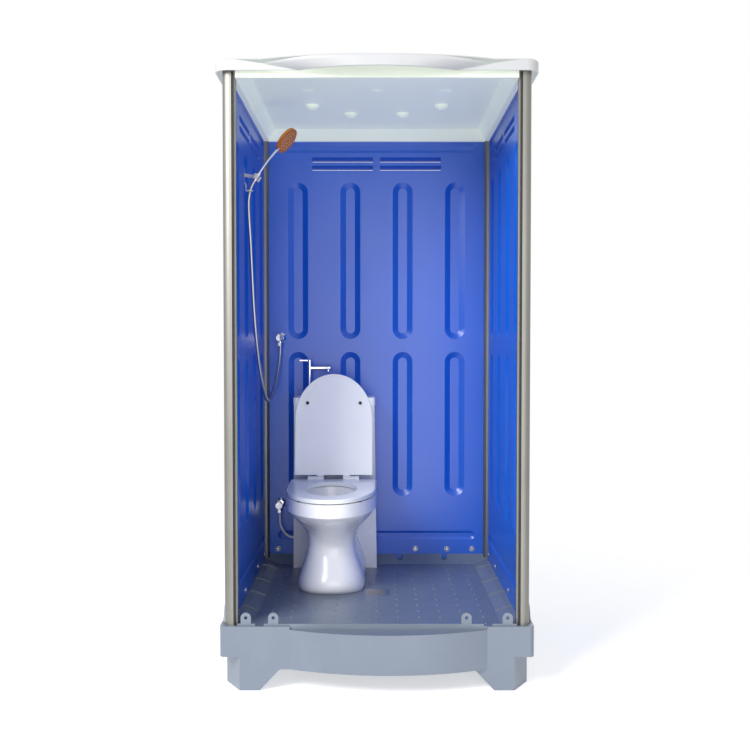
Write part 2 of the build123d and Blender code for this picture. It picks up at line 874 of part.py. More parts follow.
with BuildPart() as ceiling_liner:
    extrude(liner_rectangle(liner_bottom, 0), amount=liner_height + liner_wall)
    extrude(
        liner_rectangle(liner_bottom + liner_wall, liner_wall), amount=liner_height, mode=Mode.SUBTRACT
    )
    loft(liner_frustum(liner_bottom, liner_ceiling + liner_wall, liner_lip - liner_wall))
    loft(liner_frustum(liner_bottom, liner_ceiling, liner_lip), mode=Mode.SUBTRACT)
    with BuildSketch(Plane.XY.offset(panel_top)):
        with Locations((0, cabin_y)):
            Rectangle(2 * side_outer, 2 * rear_outer)
        with Locations((0, liner_y)):
            Rectangle(2 * liner_side, liner_length, mode=Mode.SUBTRACT)
        with Locations((0, cabin_y - post_y)):
            Rectangle(2 * post_x, 2 * post_reach, mode=Mode.SUBTRACT)
    extrude(amount=liner_wall)
    with BuildSketch(Plane.XY.offset(liner_bottom)):
        with Locations((0, cabin_y)):
            with GridLocations(2 * post_x - post_reach, 2 * post_y - post_reach, 2, 2):
                Rectangle(post_reach + 2 * fit_gap, post_reach + 2 * fit_gap)
    extrude(amount=liner_height + liner_wall, mode=Mode.SUBTRACT)
    for x, y in dimples:
        add(dimple(x, y))
save(ceiling_liner, "ceiling_liner")


# Roof shell: a bowed skirt under a low crown, seated on the post tops
def roof_block(inset, top):
    """Block within the roof's skirt, set in all round; its bowed front widens upwards."""
    front = cabin_y - roof_depth_half + inset
    with BuildPart() as block:
        with BuildSketch(Plane.XY.offset(roof_edge_bottom)):
            with Locations((0, cabin_y)):
                width, depth = 2 * roof_half - 2 * inset, 2 * roof_depth_half - 2 * inset
                RectangleRounded(width, depth, roof_corner - inset)
        extrude(amount=top - roof_edge_bottom)
        with BuildSketch(Plane.XY.offset(roof_edge_bottom)):
            bow_outline(0, roof_bow_half - inset, front, roof_bow)
        with BuildSketch(Plane.XY.offset(top)):
            bow_outline(0, roof_bow_half + roof_bow_flare - inset, front, roof_bow)
        loft()
    return block


def crown_sections(inset, level):
    """Sections of the low crown between the skirt's top and the flat middle of the roof."""
    shrink = 2 * crown_inset + 2 * inset
    with BuildSketch(Plane.XY.offset(level)) as eaves:
        with Locations((0, cabin_y)):
            RectangleRounded(base_width - shrink, base_depth - shrink, crown_corner - inset)
    with BuildSketch(Plane.XY.offset(level + roof_crown)) as middle:
        with Locations((0, cabin_y)):
            flat = 2 * crown_inset + 2 * crown_slope
            RectangleRounded(base_width - flat, base_depth - flat, crown_corner - inset)
    return [eaves.sketch, middle.sketch]


post_middle = (channel_outer + post_reach) / 2
screw_x, screw_y = post_x - post_middle, post_y - post_middle
corners = [(side_x, side_y) for side_x in (-1, 1) for side_y in (-1, 1)]
roof_screw_spots = [(side_x * screw_x, cabin_y + side_y * screw_y) for side_x, side_y in corners]
with BuildPart() as roof_shell:
    add(roof_block(0, roof_edge_top).part)
    fillet(roof_shell.edges().group_by(Axis.Z)[-1], roof_round)
    loft(crown_sections(0, roof_edge_top))
    add(roof_block(roof_wall, post_top).part, mode=Mode.SUBTRACT)
    loft(crown_sections(roof_wall, post_top), mode=Mode.SUBTRACT)
    with BuildSketch(Plane.XY.offset(roof_edge_top)):
        with Locations(*roof_screw_spots):
            Circle(screw_diameter / 2 + slip)
    extrude(amount=-2 * roof_wall, mode=Mode.SUBTRACT)
save(roof_shell, "roof_shell")
save(screws_on(Plane.XY.offset(roof_edge_top), roof_screw_spots, roof_screw_length), "roof_screws")


# Floor drain: framed cup with a pipe stub, and its lift-out grate
with BuildPart() as drain_body:
    with BuildSketch(Plane.XY.offset(floor_top)):
        with Locations(drain_spot):
            Rectangle(drain_size, drain_size)
    extrude(amount=-drain_frame)
    with BuildSketch(Plane.XY.offset(floor_top)):
        with Locations(drain_spot):
            Circle(drain_cup_radius)
    extrude(amount=-drain_cup_depth)
    with BuildSketch(Plane.XY.offset(drain_pipe_end)):
        with Locations(drain_spot):
            Circle(drain_pipe_radius)
    extrude(amount=floor_top - drain_cup_depth - drain_pipe_end)
    with BuildSketch(Plane.XY.offset(floor_top)):
        with Locations(drain_spot):
            Rectangle(drain_size - 2 * drain_rim, drain_size - 2 * drain_rim)
    extrude(amount=-grate_thickness, mode=Mode.SUBTRACT)
    with BuildSketch(Plane.XY.offset(floor_top)):
        with Locations(drain_spot):
            Circle(drain_cup_radius - drain_wall)
    extrude(amount=-drain_cup_depth + drain_wall, mode=Mode.SUBTRACT)
    with BuildSketch(Plane.XY.offset(drain_pipe_end)):
        with Locations(drain_spot):
            Circle(drain_pipe_radius - drain_wall)
    extrude(amount=floor_top - drain_pipe_end, mode=Mode.SUBTRACT)
save(drain_body, "drain_body")

grate_size = drain_size - 2 * drain_rim - 2 * slip
with BuildPart() as drain_grate:
    with BuildSketch(Plane.XY.offset(floor_top - grate_thickness)):
        with Locations(drain_spot):
            RectangleRounded(grate_size, grate_size, drain_rim)
            with GridLocations(0, grate_slot_pitch, 1, grate_slots):
                SlotOverall(grate_size - 4 * drain_rim, grate_slot_width, mode=Mode.SUBTRACT)
    extrude(amount=grate_thickness)
save(drain_grate, "drain_grate")

# Waste stub under the toilet, and the ring that seals the toilet outlet in it
with BuildPart() as waste_stub:
    with BuildSketch(Plane.XY.offset(waste_end)):
        with Locations(outlet_spot):
            Circle(waste_radius)
    extrude(amount=floor_top - waste_end)
    with BuildSketch(Plane.XY.offset(floor_top - deck_thickness)):
        with Locations(outlet_spot):
            Circle(waste_flange)
    extrude(amount=-waste_flange_height)
    with BuildSketch(Plane.XY.offset(waste_end)):
        with Locations(outlet_spot):
            Circle(waste_radius - waste_wall)
    extrude(amount=floor_top - waste_end, mode=Mode.SUBTRACT)
save(waste_stub, "waste_stub")

with BuildPart() as waste_seal:
    with BuildSketch(Plane.XY.offset(floor_top)):
        with Locations(outlet_spot):
            Circle(waste_radius - waste_wall - slip)
            Circle(outlet_radius + slip, mode=Mode.SUBTRACT)
    extrude(amount=-outlet_drop)
save(waste_seal, "waste_seal")


# Toilet body: pedestal, bowl with its rim band, and tank in one piece of ceramic
def pedestal_section(height, half, front, arc, rear):
    """One level section of the pedestal or of its hollow."""
    plane = Plane(origin=(toilet_x, tank_back, floor_top + height), z_dir=(0, 0, 1))
    with BuildSketch(plane) as section:
        d_outline(half, front, arc, rear)
    return section.sketch


def tank_section(height, half, front, rear):
    """One level section of the tank block or of its hollow."""
    with BuildSketch(above_floor(height)) as section:
        with Locations((toilet_x, tank_back - (front + rear) / 2)):
            Rectangle(2 * half, front - rear)
    return section.sketch


def bowl_section(height, grow):
    """One level section of the bowl, from its sump up to the rim."""
    share = (height - sump_height) / (rim_height - sump_height)
    middle = sump_center + share * (bowl_center - sump_center)
    with BuildSketch(above_floor(height)) as section:
        with Locations((toilet_x, tank_back - middle)):
            Ellipse(
                sump_half + share * (bowl_half - sump_half) + grow,
                sump_long + share * (bowl_long - sump_long) + grow,
            )
    return section.sketch


band_bottom = rim_height - rim_band
tank_lean = (tank_depth - block_depth) / tank_height
tank_inner = tank_half_top - ceramic_wall
skin_levels = (
    (0, foot_half, foot_length, foot_arc),
    (waist_height / 2, shin_half, waist_front, foot_arc),
    (waist_height, waist_half, waist_front, foot_arc),
    ((waist_height + band_bottom) / 2, belly_half, belly_front, belly_arc),
    (band_bottom, rim_half - band_step, rim_length - band_step, rim_arc - band_step),
)
bowl_skin = []
pedestal_hollow = []
for height, half, front, arc in skin_levels:
    hollow_rear = block_depth + tank_lean * height + ceramic_wall
    hollow_sizes = (half - ceramic_wall, front - ceramic_wall, arc - ceramic_wall, hollow_rear)
    bowl_skin.append(pedestal_section(height, half, front, arc, pedestal_rear))
    pedestal_hollow.append(pedestal_section(height, *hollow_sizes))
tank_skin = [
    tank_section(0, tank_half_bottom, block_depth, 0),
    tank_section(tank_height, tank_half_top, tank_depth, 0),
]
tank_hollow = [
    tank_section(tank_floor, tank_inner, block_depth + tank_lean * tank_floor - ceramic_wall, ceramic_wall),
    tank_section(tank_height, tank_inner, tank_depth - ceramic_wall, ceramic_wall),
]
hose_recess = tank_section(0, 2 * tank_half_bottom, hose_recess_depth, -ceramic_wall)
block_hollow = tank_section(0, tank_inner, block_depth - ceramic_wall, hose_recess_depth + ceramic_wall)
trap_start = Vector(toilet_x, tank_back - sump_center, floor_top + trap_height)
trap_end = Vector(*outlet_spot, floor_top + weir_height)
trap_plane = Plane(origin=trap_start, x_dir=(1, 0, 0), z_dir=trap_end - trap_start)
trap_length = (trap_end - trap_start).length
with BuildPart() as toilet_body:
    loft(bowl_skin)
    with BuildSketch(rim_plane):
        d_outline(rim_half, rim_length - hinge_distance, rim_arc, tank_depth - hinge_distance)
    extrude(amount=-rim_band)
    loft(tank_skin)
    # Hollows: behind the low part for the hose, the tank, the block and the pedestal
    extrude(hose_recess, amount=hose_recess_height, mode=Mode.SUBTRACT)
    loft(tank_hollow, mode=Mode.SUBTRACT)
    extrude(block_hollow, amount=hose_recess_height - ceramic_wall, mode=Mode.SUBTRACT)
    loft(pedestal_hollow, mode=Mode.SUBTRACT)
    extrude(pedestal_hollow[-1], amount=hollow_top - band_bottom, mode=Mode.SUBTRACT)
    # Bowl, trap and outlet: first their walls, then their bores
    loft([bowl_section(sump_height - ceramic_wall, ceramic_wall), bowl_section(hollow_top, ceramic_wall)])
    with BuildSketch(above_floor(-outlet_drop)):
        with Locations(outlet_spot):
            Circle(outlet_radius)
    extrude(amount=outlet_drop + weir_height + outlet_bore)
    with BuildSketch(trap_plane):
        Circle(trap_radius + ceramic_wall)
    extrude(amount=trap_length)
    loft([bowl_section(sump_height, 0), bowl_section(rim_height, 0)], mode=Mode.SUBTRACT)
    with BuildSketch(above_floor(-outlet_drop)):
        with Locations(outlet_spot):
            Circle(outlet_bore)
    extrude(amount=outlet_drop + weir_height, mode=Mode.SUBTRACT)
    with BuildSketch(trap_plane):
        Circle(trap_radius)
    extrude(amount=trap_length, mode=Mode.SUBTRACT)
    # Holes for the hinge studs, the flush valve and the water inlet
    with BuildSketch(rim_plane):
        for side in (-1, 1):
            with Locations((side * (post_inner + post_width / 2), 0)):
                Circle(hinge_stud + slip)
    extrude(amount=-hinge_stud_length - ceramic_wall, mode=Mode.SUBTRACT)
    with BuildSketch(above_floor(tank_floor)):
        with Locations(flush_spot):
            Circle(flush_tail + slip)
        with Locations(inlet_spot):
            Circle(shank_radius + slip)
    extrude(amount=-4 * ceramic_wall, mode=Mode.SUBTRACT)
save(toilet_body, "toilet_body")

# Tank lid with openings for the flush buttons and the tap
with BuildPart() as tank_lid:
    with BuildSketch(Plane.XY.offset(tank_top)):
        with Locations((toilet_x, tank_back - tank_depth / 2)):
            lid_width = 2 * tank_half_top + 2 * tank_lid_overlap
            RectangleRounded(lid_width, tank_depth + 2 * tank_lid_overlap, tank_corner)
    extrude(amount=tank_lid_height)
    fillet(tank_lid.edges().group_by(Axis.Z)[-1], tank_lid_overlap)
    with BuildSketch(Plane.XY.offset(tank_top)):
        with Locations(button_spot):
            Circle(bezel_sleeve + slip)
        with Locations(tap_spot):
            Circle(tap_shank + slip)
    extrude(amount=tank_lid_height, mode=Mode.SUBTRACT)
save(tank_lid, "tank_lid")

# Flush buttons: a chromed bezel holds a wide and a narrow button side by side
with BuildPart() as flush_bezel:
    with BuildSketch(Plane.XY.offset(tank_top)):
        with Locations(button_spot):
            Circle(bezel_sleeve)
    extrude(amount=tank_lid_height)
    with BuildSketch(Plane.XY.offset(lid_top)):
        with Locations(button_spot):
            Circle(bezel_radius)
    extrude(amount=bezel_height)
    fillet(flush_bezel.edges().group_by(Axis.Z)[-1], bezel_height / 4)
    with BuildSketch(Plane.XY.offset(tank_top)):
        with Locations(button_spot):
            Circle(bezel_radius - bezel_lip)
    extrude(amount=tank_lid_height + bezel_height, mode=Mode.SUBTRACT)
save(flush_bezel, "flush_bezel")


def flush_button(side, low, high):
    """One of the two buttons: a slice of the disc between two offsets from its middle."""
    top = Plane.XY.offset(button_top)
    with BuildPart() as button:
        with BuildSketch(top):
            with Locations(button_spot):
                Circle(button_radius)
                with Locations((side * (low + high) / 2, 0)):
                    Rectangle(high - low, 2 * button_radius, mode=Mode.INTERSECT)
        extrude(amount=-button_depth)
        with BuildSketch(top):
            with Locations((button_spot[0] + side * button_radius / 2, button_spot[1])):
                Circle(button_stem)
        extrude(amount=flush_top + button_travel + fit_gap - button_top)
    return button


save(flush_button(1, button_split / 2 - button_radius / 4, button_radius), "full_flush_button")
save(flush_button(-1, button_split / 2 + button_radius / 4, button_radius), "half_flush_button")


# Seat, cover and hinge, all about one hinge line
def knuckles(plane, start, width, rise):
    """A pair of knuckles on the hinge line, with arms to the plate in front."""
    hinge_side = Plane(origin=plane.origin, x_dir=plane.y_dir, z_dir=plane.x_dir)
    with BuildPart() as pair:
        for side in (-1, 1):
            with BuildSketch(hinge_side.offset(side * start)):
                Circle(knuckle_radius)
                with Locations((-seat_rear, rise)):
                    Rectangle(2 * seat_rear, knuckle_radius / 2)
                Circle(bore_radius, mode=Mode.SUBTRACT)
            extrude(amount=side * width)
    return pair.part


bore_radius = pin_radius + pin_clearance
seat_arm = -knuckle_radius / 2
cover_arm = cover_gap + cover_pocket
seat_start = post_inner + post_width + knuckle_gap
cover_start = post_inner - knuckle_gap - cover_knuckle
with BuildPart() as seat_ring:
    with BuildSketch(hinge_plane):
        d_outline(seat_half, seat_front, seat_arc, seat_rear)
    extrude(amount=-seat_thickness)
    top_curves = seat_ring.edges().filter_by(GeomType.LINE, reverse=True).group_by(Axis.Z)[-1]
    fillet(top_curves, seat_thickness / 4)
    with BuildSketch(hinge_plane):
        with Locations((0, hinge_distance - bowl_center)):
            Ellipse(seat_hole_half, seat_hole_long)
    extrude(amount=-seat_thickness, mode=Mode.SUBTRACT)
    add(knuckles(hinge_plane, seat_start, seat_knuckle, seat_arm))
save(seat_ring, "seat_ring")

with BuildPart() as seat_bumpers:
    for bumper_x, bumper_y in seat_bumper_spots:
        with BuildSketch(rim_plane):
            with Locations((-bumper_x, -bumper_y), (bumper_x, -bumper_y)):
                Circle(seat_bumper_radius)
        extrude(amount=seat_air)
save(seat_bumpers, "seat_bumpers")

cover_under = cover_plane.offset(cover_gap)
with BuildPart() as seat_cover:
    with BuildSketch(cover_under):
        d_outline(cover_half, cover_length, cover_arc, cover_rear)
    extrude(amount=cover_thickness)
    with BuildSketch(cover_under):
        d_outline(
            cover_half - cover_rim, cover_length - cover_rim, cover_arc - cover_rim, cover_rear + cover_rim
        )
    extrude(amount=cover_pocket, mode=Mode.SUBTRACT)
    add(knuckles(cover_plane, cover_start, cover_knuckle, cover_arm))
save(seat_cover, "seat_cover")

with BuildPart() as cover_bumpers:
    with BuildSketch(cover_under.offset(cover_pocket)):
        with Locations((-cover_bumper_x, -cover_bumper_y), (cover_bumper_x, -cover_bumper_y)):
            Circle(bumper_radius)
    extrude(amount=-cover_pocket - cover_gap + bumper_air)
save(cover_bumpers, "cover_bumpers")

hinge_ends = Plane(origin=hinge_plane.origin, x_dir=hinge_plane.y_dir, z_dir=hinge_plane.x_dir)
with BuildPart() as hinge_posts:
    for side in (-1, 1):
        with BuildSketch(hinge_ends.offset(side * post_inner)):
            Circle(knuckle_radius)
            Rectangle(2 * knuckle_radius, hinge_rise, align=(Align.CENTER, Align.MAX))
            Circle(bore_radius, mode=Mode.SUBTRACT)
        extrude(amount=side * post_width)
        with BuildSketch(rim_plane):
            with Locations((side * (post_inner + post_width / 2), 0)):
                Circle(hinge_stud)
        extrude(amount=-hinge_stud_length)
save(hinge_posts, "hinge_posts")

with BuildPart() as hinge_pins:
    for side in (-1, 1):
        with BuildSketch(hinge_ends.offset(side * (cover_start + knuckle_gap))):
            Circle(pin_radius)
        extrude(amount=side * (seat_start + seat_knuckle - cover_start - 2 * knuckle_gap))
save(hinge_pins, "hinge_pins")


# Works inside the tank
def column(spot, level, height, radius):
    """Round bar up from a level."""
    with BuildSketch(Plane.XY.offset(level)) as section:
        with Locations(spot):
            Circle(radius)
    return extrude(section.sketch, amount=height, mode=Mode.PRIVATE)


with BuildPart() as flush_valve:
    add(column(flush_spot, flush_seat, flush_flange_height, flush_flange))
    add(column(flush_spot, flush_seat, flush_tower_height, flush_radius))
    add(column(flush_spot, flush_seat, -flush_seal_height - 2 * ceramic_wall, flush_tail))
save(flush_valve, "flush_valve")

with BuildPart() as flush_seal:
    add(column(flush_spot, tank_deck, flush_seal_height, flush_flange))
    add(column(flush_spot, tank_deck, flush_seal_height, flush_tail + slip), mode=Mode.SUBTRACT)
save(flush_seal, "flush_seal")

with BuildPart() as fill_valve:
    add(column(inlet_spot, tank_deck, fill_flange_height, fill_flange))
    add(column(inlet_spot, tank_deck, fill_height, fill_column))
    add(column(inlet_spot, tank_deck, -shank_drop, shank_radius))
save(fill_valve, "fill_valve")

with BuildPart() as fill_float:
    float_bottom = tank_deck + float_level
    add(column(inlet_spot, float_bottom, float_height, float_radius))
    add(column(inlet_spot, float_bottom, float_height, fill_column + fit_gap), mode=Mode.SUBTRACT)
save(fill_float, "fill_float")

inlet_under = floor_top + hose_recess_height
with BuildPart() as inlet_nut:
    with BuildSketch(Plane.XY.offset(inlet_under)):
        with Locations(inlet_spot):
            RegularPolygon(inlet_nut_size / 2, 6, major_radius=False)
            Circle(shank_radius + slip, mode=Mode.SUBTRACT)
    extrude(amount=-inlet_nut_height)
save(inlet_nut, "inlet_nut")


# Wall valves: rose, body with an outlet below, and a fluted knob in front
def valve_plane(x, z):
    """Plane on the back wall's inner face, with local Z out of the wall and local Y up."""
    return Plane(origin=(x, wall_y, z), x_dir=(1, 0, 0), z_dir=(0, -1, 0))


def valve_rose(x, z):
    """Domed cover ring against the wall."""
    with BuildPart(valve_plane(x, z)) as rose:
        Cone(rose_radius, valve_radius + rose_height / 2, rose_height, align=LOW)
        Cylinder(valve_radius + slip, 2 * rose_height, mode=Mode.SUBTRACT)
    return rose


def valve_body(x, z):
    """Straight body from the wall with its outlet pointing down."""
    face = valve_plane(x, z)
    with BuildPart() as body:
        with BuildSketch(face):
            Circle(valve_radius)
        extrude(amount=valve_length)
        with BuildSketch(Plane.XY.offset(z)):
            with Locations((x, wall_y - valve_outlet_reach)):
                Circle(valve_outlet_radius)
        extrude(amount=-valve_outlet_drop)
    return body


def valve_knob(x, z):
    """Fluted knob on the end of the body."""
    with BuildPart() as knob:
        with BuildSketch(valve_plane(x, z).offset(valve_length + slip)):
            Circle(knob_radius)
            with PolarLocations(knob_radius + knob_flute_radius / 2, knob_flutes):
                Circle(knob_flute_radius, mode=Mode.SUBTRACT)
        extrude(amount=knob_length)
        chamfer(knob.faces().sort_by(Axis.Y)[0].edges(), knob_flute_radius / 4)
    return knob


valves = (("shower", shower_valve_x, shower_valve_z), ("toilet", toilet_valve_x, toilet_valve_z))
for valve_name, valve_x, valve_z in valves:
    save(valve_rose(valve_x, valve_z), f"{valve_name}_valve_rose")
    save(valve_body(valve_x, valve_z), f"{valve_name}_valve_body")
    save(valve_knob(valve_x, valve_z), f"{valve_name}_valve_knob")

with BuildPart() as supply_stubs:
    for _, valve_x, valve_z in valves:
        with BuildSketch(valve_plane(valve_x, valve_z)):
            Circle(stub_neck)
        extrude(amount=-panel_thickness - stub_reach)
        with BuildSketch(valve_plane(valve_x, valve_z).offset(-panel_thickness - back_nut_height)):
            Circle(thread_radius)
        extrude(amount=back_nut_height - stub_reach)
save(supply_stubs, "supply_stubs")

with BuildPart() as supply_nuts:
    for _, valve_x, valve_z in valves:
        with BuildSketch(valve_plane(valve_x, valve_z).offset(-panel_thickness)):
            RegularPolygon(back_nut_size / 2, 6, major_radius=False)
            Circle(stub_neck + slip, mode=Mode.SUBTRACT)
        extrude(amount=-back_nut_height)
save(supply_nuts, "supply_nuts")


# Hoses: straight runs joined by arcs as large as the runs allow
def hose_path(points):
    """Rounded route through points chosen by hand, and the radii of its bends."""
    points = [Vector(*point) for point in points]
    runs = [after - before for before, after in zip(points, points[1:])]
    radii = []
    for run, following in zip(runs, runs[1:]):
        turn = radians(run.get_angle(following))
        radii.append(bend_share * min(run.length, following.length) / tan(turn / 2))
    return FilletPolyline(*points, radius=radii, mode=Mode.PRIVATE), radii


def hose_tube(points, radius, label):
    """Solid tube along a route, with its length and the radii of its bends printed."""
    path, radii = hose_path(points)
    with BuildPart() as tube:
        with BuildSketch(Plane(origin=path @ 0, z_dir=path % 0)):
            Circle(radius)
        sweep(path=path)
    print(label, "length", round(path.length), "bends", [round(value) for value in radii])
    return tube


def outlet_end(x, z):
    """Lower end of the hose nut under a wall valve."""
    return Vector(x, wall_y - valve_outlet_reach, z - valve_outlet_drop - hose_nut_height)


clip_spot = from_left_wall(clip_place)
clip_plane = Plane(origin=clip_spot, x_dir=clip_axis.cross(Vector(0, 0, 1)), z_dir=clip_axis)
cone_end = clip_spot - clip_axis * (cone_length / 2)
shower_end = outlet_end(shower_valve_x, shower_valve_z)
# Points between the clip and the valve: distance from the left wall, share of the way back, height
shower_middle = (
    (19.4, -0.0199, 1794.1),
    (14.2, -0.0212, 1754.5),
    (16.0, -0.0131, 1694.0),
    (20.0, 0.0065, 1610.0),
    (22.0, 0.0294, 1520.0),
    (24.0, 0.0539, 1430.0),
    (27.0, 0.0801, 1335.0),
    (31.0, 0.1242, 1240.0),
    (36.0, 0.1830, 1152.0),
    (42.0, 0.2582, 1072.0),
    (47.0, 0.3464, 1008.0),
    (51.0, 0.4444, 974.0),
    (55.0, 0.5556, 973.0),
    (58.0, 0.6732, 992.0),
    (62.0, 0.7876, 1026.0),
    (66.0, 0.8824, 1068.0),
    (70.0, 0.9542, 1116.0),
    (72.0, 0.9902, 1156.0),
)
way_back = shower_end.Y - clip_spot.Y
shower_route = [cone_end, cone_end - clip_axis * cone_run]
for side, share, height in shower_middle:
    shower_route.append(Vector(side - side_inner, clip_spot.Y + share * way_back, height))
shower_route += [shower_end - Vector(0, 0, shower_run), shower_end]
shower_hose = hose_tube(shower_route, hose_radius, "shower_hose")
save(shower_hose, "shower_hose")

supply_start = outlet_end(toilet_valve_x, toilet_valve_z)
supply_end = Vector(*inlet_spot, tank_deck - shank_drop - hose_nut_height)
# Points between the valve and the tank: distance from the left wall, from the back wall, and height
supply_middle = (
    (74.0, 45.0, 378.0),
    (94.0, 44.0, 347.0),
    (123.0, 43.0, 331.0),
    (156.0, 42.0, 331.0),
    (185.0, 42.0, 348.0),
    (205.0, 43.0, 380.0),
    (212.0, 44.0, 418.0),
    (213.0, 45.0, 458.0),
)
supply_route = [supply_start, supply_start - Vector(0, 0, supply_run)]
supply_route += [Vector(side - side_inner, wall_y - gap, z) for side, gap, z in supply_middle]
supply_route += [supply_end - Vector(0, 0, supply_run), supply_end]
supply_hose = hose_tube(supply_route, supply_radius, "supply_hose")
save(supply_hose, "supply_hose")


def hose_nut(end):
    """Hex nut that joins a hose end to the pipe above it."""
    with BuildPart() as nut:
        with BuildSketch(Plane(origin=end, z_dir=(0, 0, 1))):
            RegularPolygon(hose_nut_radius, 6, major_radius=False)
        extrude(amount=hose_nut_height)
    return nut


with BuildPart() as supply_hose_nuts:
    add(hose_nut(supply_start).part)
    add(hose_nut(supply_end).part)
save(supply_hose_nuts, "supply_hose_nuts")
save(hose_nut(shower_end), "shower_hose_nut")

# Handset end: cone nut, wall bracket with its clip, and the hose guide hook
with BuildPart(clip_plane) as hose_cone_nut:
    Cone(cone_bottom, cone_top, cone_length)
save(hose_cone_nut, "hose_cone_nut")

bracket_spot = Vector(bracket_x, bracket_y, bracket_z)
bracket_wall = Plane(origin=bracket_spot, x_dir=(0, 1, 0), z_dir=(1, 0, 0))
arm = clip_spot - bracket_spot
hook_points = [from_left_wall(place) for place in hook_route]
hook = FilletPolyline(*hook_points, radius=hook_bend, mode=Mode.PRIVATE)
with BuildPart() as shower_bracket:
    with BuildSketch(bracket_wall):
        RectangleRounded(bracket_width, bracket_height, bracket_width / 4)
    extrude(amount=bracket_plate)
    with BuildSketch(Plane(origin=bracket_spot + arm.normalized() * bracket_plate, z_dir=arm)):
        Circle(arm_radius)
    extrude(amount=arm.length - clip_radius)
    with BuildSketch(clip_plane.offset(-clip_height / 2)):
        Circle(clip_radius)
    extrude(amount=clip_height)
    cone_rate = (cone_top - cone_bottom) / cone_length / 2
    cone_middle = (cone_top + cone_bottom) / 2 + clip_air
    with BuildSketch(clip_plane.offset(-clip_height)):
        Circle(cone_middle - cone_rate * 2 * clip_height)
    with BuildSketch(clip_plane.offset(clip_height)):
        Circle(cone_middle + cone_rate * 2 * clip_height)
    loft(mode=Mode.SUBTRACT)
    mouth = Plane(origin=clip_spot, x_dir=arm - clip_axis * arm.dot(clip_axis), z_dir=clip_axis)
    with BuildSketch(mouth.offset(-clip_height)):
        with Locations((clip_radius, 0)):
            Rectangle(2 * clip_radius, clip_mouth)
    extrude(amount=2 * clip_height, mode=Mode.SUBTRACT)
    with BuildSketch(Plane(origin=hook @ 0, z_dir=hook % 0)):
        Circle(hook_radius)
    sweep(path=hook)
save(shower_bracket, "shower_bracket")

# Handset: round head with its face plate, and a slim curved handle above the cone nut
head_spot = from_left_wall(head_place)
handle_start = clip_spot + clip_axis * (cone_length / 2)
handle_reach = (handle_start - head_spot).normalized() * (head_radius - handle_bury)
handle_end = head_spot + handle_reach - head_normal * handle_setback
head_face = Plane(origin=head_spot + head_normal * (head_rim / 2), z_dir=head_normal)
head_ball = (head_radius**2 + head_back**2) / (2 * head_back)
with BuildPart(head_face) as handset_head:
    Cylinder(head_radius, head_rim + head_back, align=HIGH)
    with Locations((0, 0, head_ball - head_rim - head_back)):
        Sphere(head_ball, mode=Mode.INTERSECT)
    Cylinder(face_radius, face_depth, align=HIGH, mode=Mode.SUBTRACT)
save(handset_head, "handset_head")

with BuildPart() as handset_faceplate:
    with BuildSketch(head_face):
        Circle(face_radius - slip)
    extrude(amount=-face_depth)
save(handset_faceplate, "handset_faceplate")

handle_path = TangentArc(handle_start, handle_end, tangent=clip_axis, mode=Mode.PRIVATE)
with BuildPart() as handset_handle:
    with BuildSketch(Plane(origin=handle_start, z_dir=clip_axis)):
        Circle(handle_radius)
    sweep(path=handle_path)
    add(handset_head.part, mode=Mode.SUBTRACT)
save(handset_handle, "handset_handle")

# Tap on the tank lid: body with its spout and shank, trim ring, lever, aerator and lock nut
spout_z = lid_top + spout_height
aerator_spot = (tap_spot[0] + spout_length - aerator_setback, tap_spot[1])
with BuildPart() as tap_body:
    add(column(tap_spot, lid_top, tap_height, tap_stem))
    add(column(tap_spot, lid_top, -tank_lid_height - tap_shank_length, tap_shank))
    with BuildSketch(Plane(origin=(*tap_spot, spout_z), z_dir=(1, 0, 0))):
        Circle(spout_radius)
    extrude(amount=spout_length)
    fillet(tap_body.edges().group_by(Axis.X)[-1], spout_radius / 4)
    add(column(aerator_spot, spout_z, -spout_radius, aerator_radius + slip), mode=Mode.SUBTRACT)
save(tap_body, "tap_body")

with BuildPart() as tap_base_ring:
    add(column(tap_spot, lid_top, tap_base_height, tap_base_radius))
    fillet(tap_base_ring.edges().group_by(Axis.Z)[-1], tap_base_height / 3)
    add(column(tap_spot, lid_top, tap_base_height, tap_stem + slip), mode=Mode.SUBTRACT)
save(tap_base_ring, "tap_base_ring")

lever_bottom = lid_top + tap_height + lever_gap
with BuildPart() as tap_lever:
    add(column(tap_spot, lever_bottom, lever_cap_height, lever_cap))
    with BuildSketch(Plane.XY.offset(lever_bottom + lever_cap_height)):
        with Locations(tap_spot):
            Circle(lever_cap)
            Rectangle(lever_length, lever_width, align=(Align.MAX, Align.CENTER))
    extrude(amount=lever_thickness)
save(tap_lever, "tap_lever")

with BuildPart() as tap_aerator:
    add(column(aerator_spot, spout_z, -spout_radius, aerator_radius))
    add(column(aerator_spot, spout_z - spout_radius, -aerator_height / 2, aerator_radius))
save(tap_aerator, "tap_aerator")

with BuildPart() as tap_lock_nut:
    with BuildSketch(Plane.XY.offset(tank_top)):
        with Locations(tap_spot):
            RegularPolygon(lock_nut_radius, 6, major_radius=False)
            Circle(tap_shank + slip, mode=Mode.SUBTRACT)
    extrude(amount=-lock_nut_height)
save(tap_lock_nut, "tap_lock_nut")
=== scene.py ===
# %% [markdown]
# A portable washroom cabin: moulded blue walls on aluminium posts, a grey base, a white roof, a
# toilet and a shower set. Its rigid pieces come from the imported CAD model, at true size and in one
# shared frame. This lesson gives each piece its finish, and adds what is too fine or too flexible
# for the solids. All sizes and places are in metres.

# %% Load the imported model
import json
from math import radians

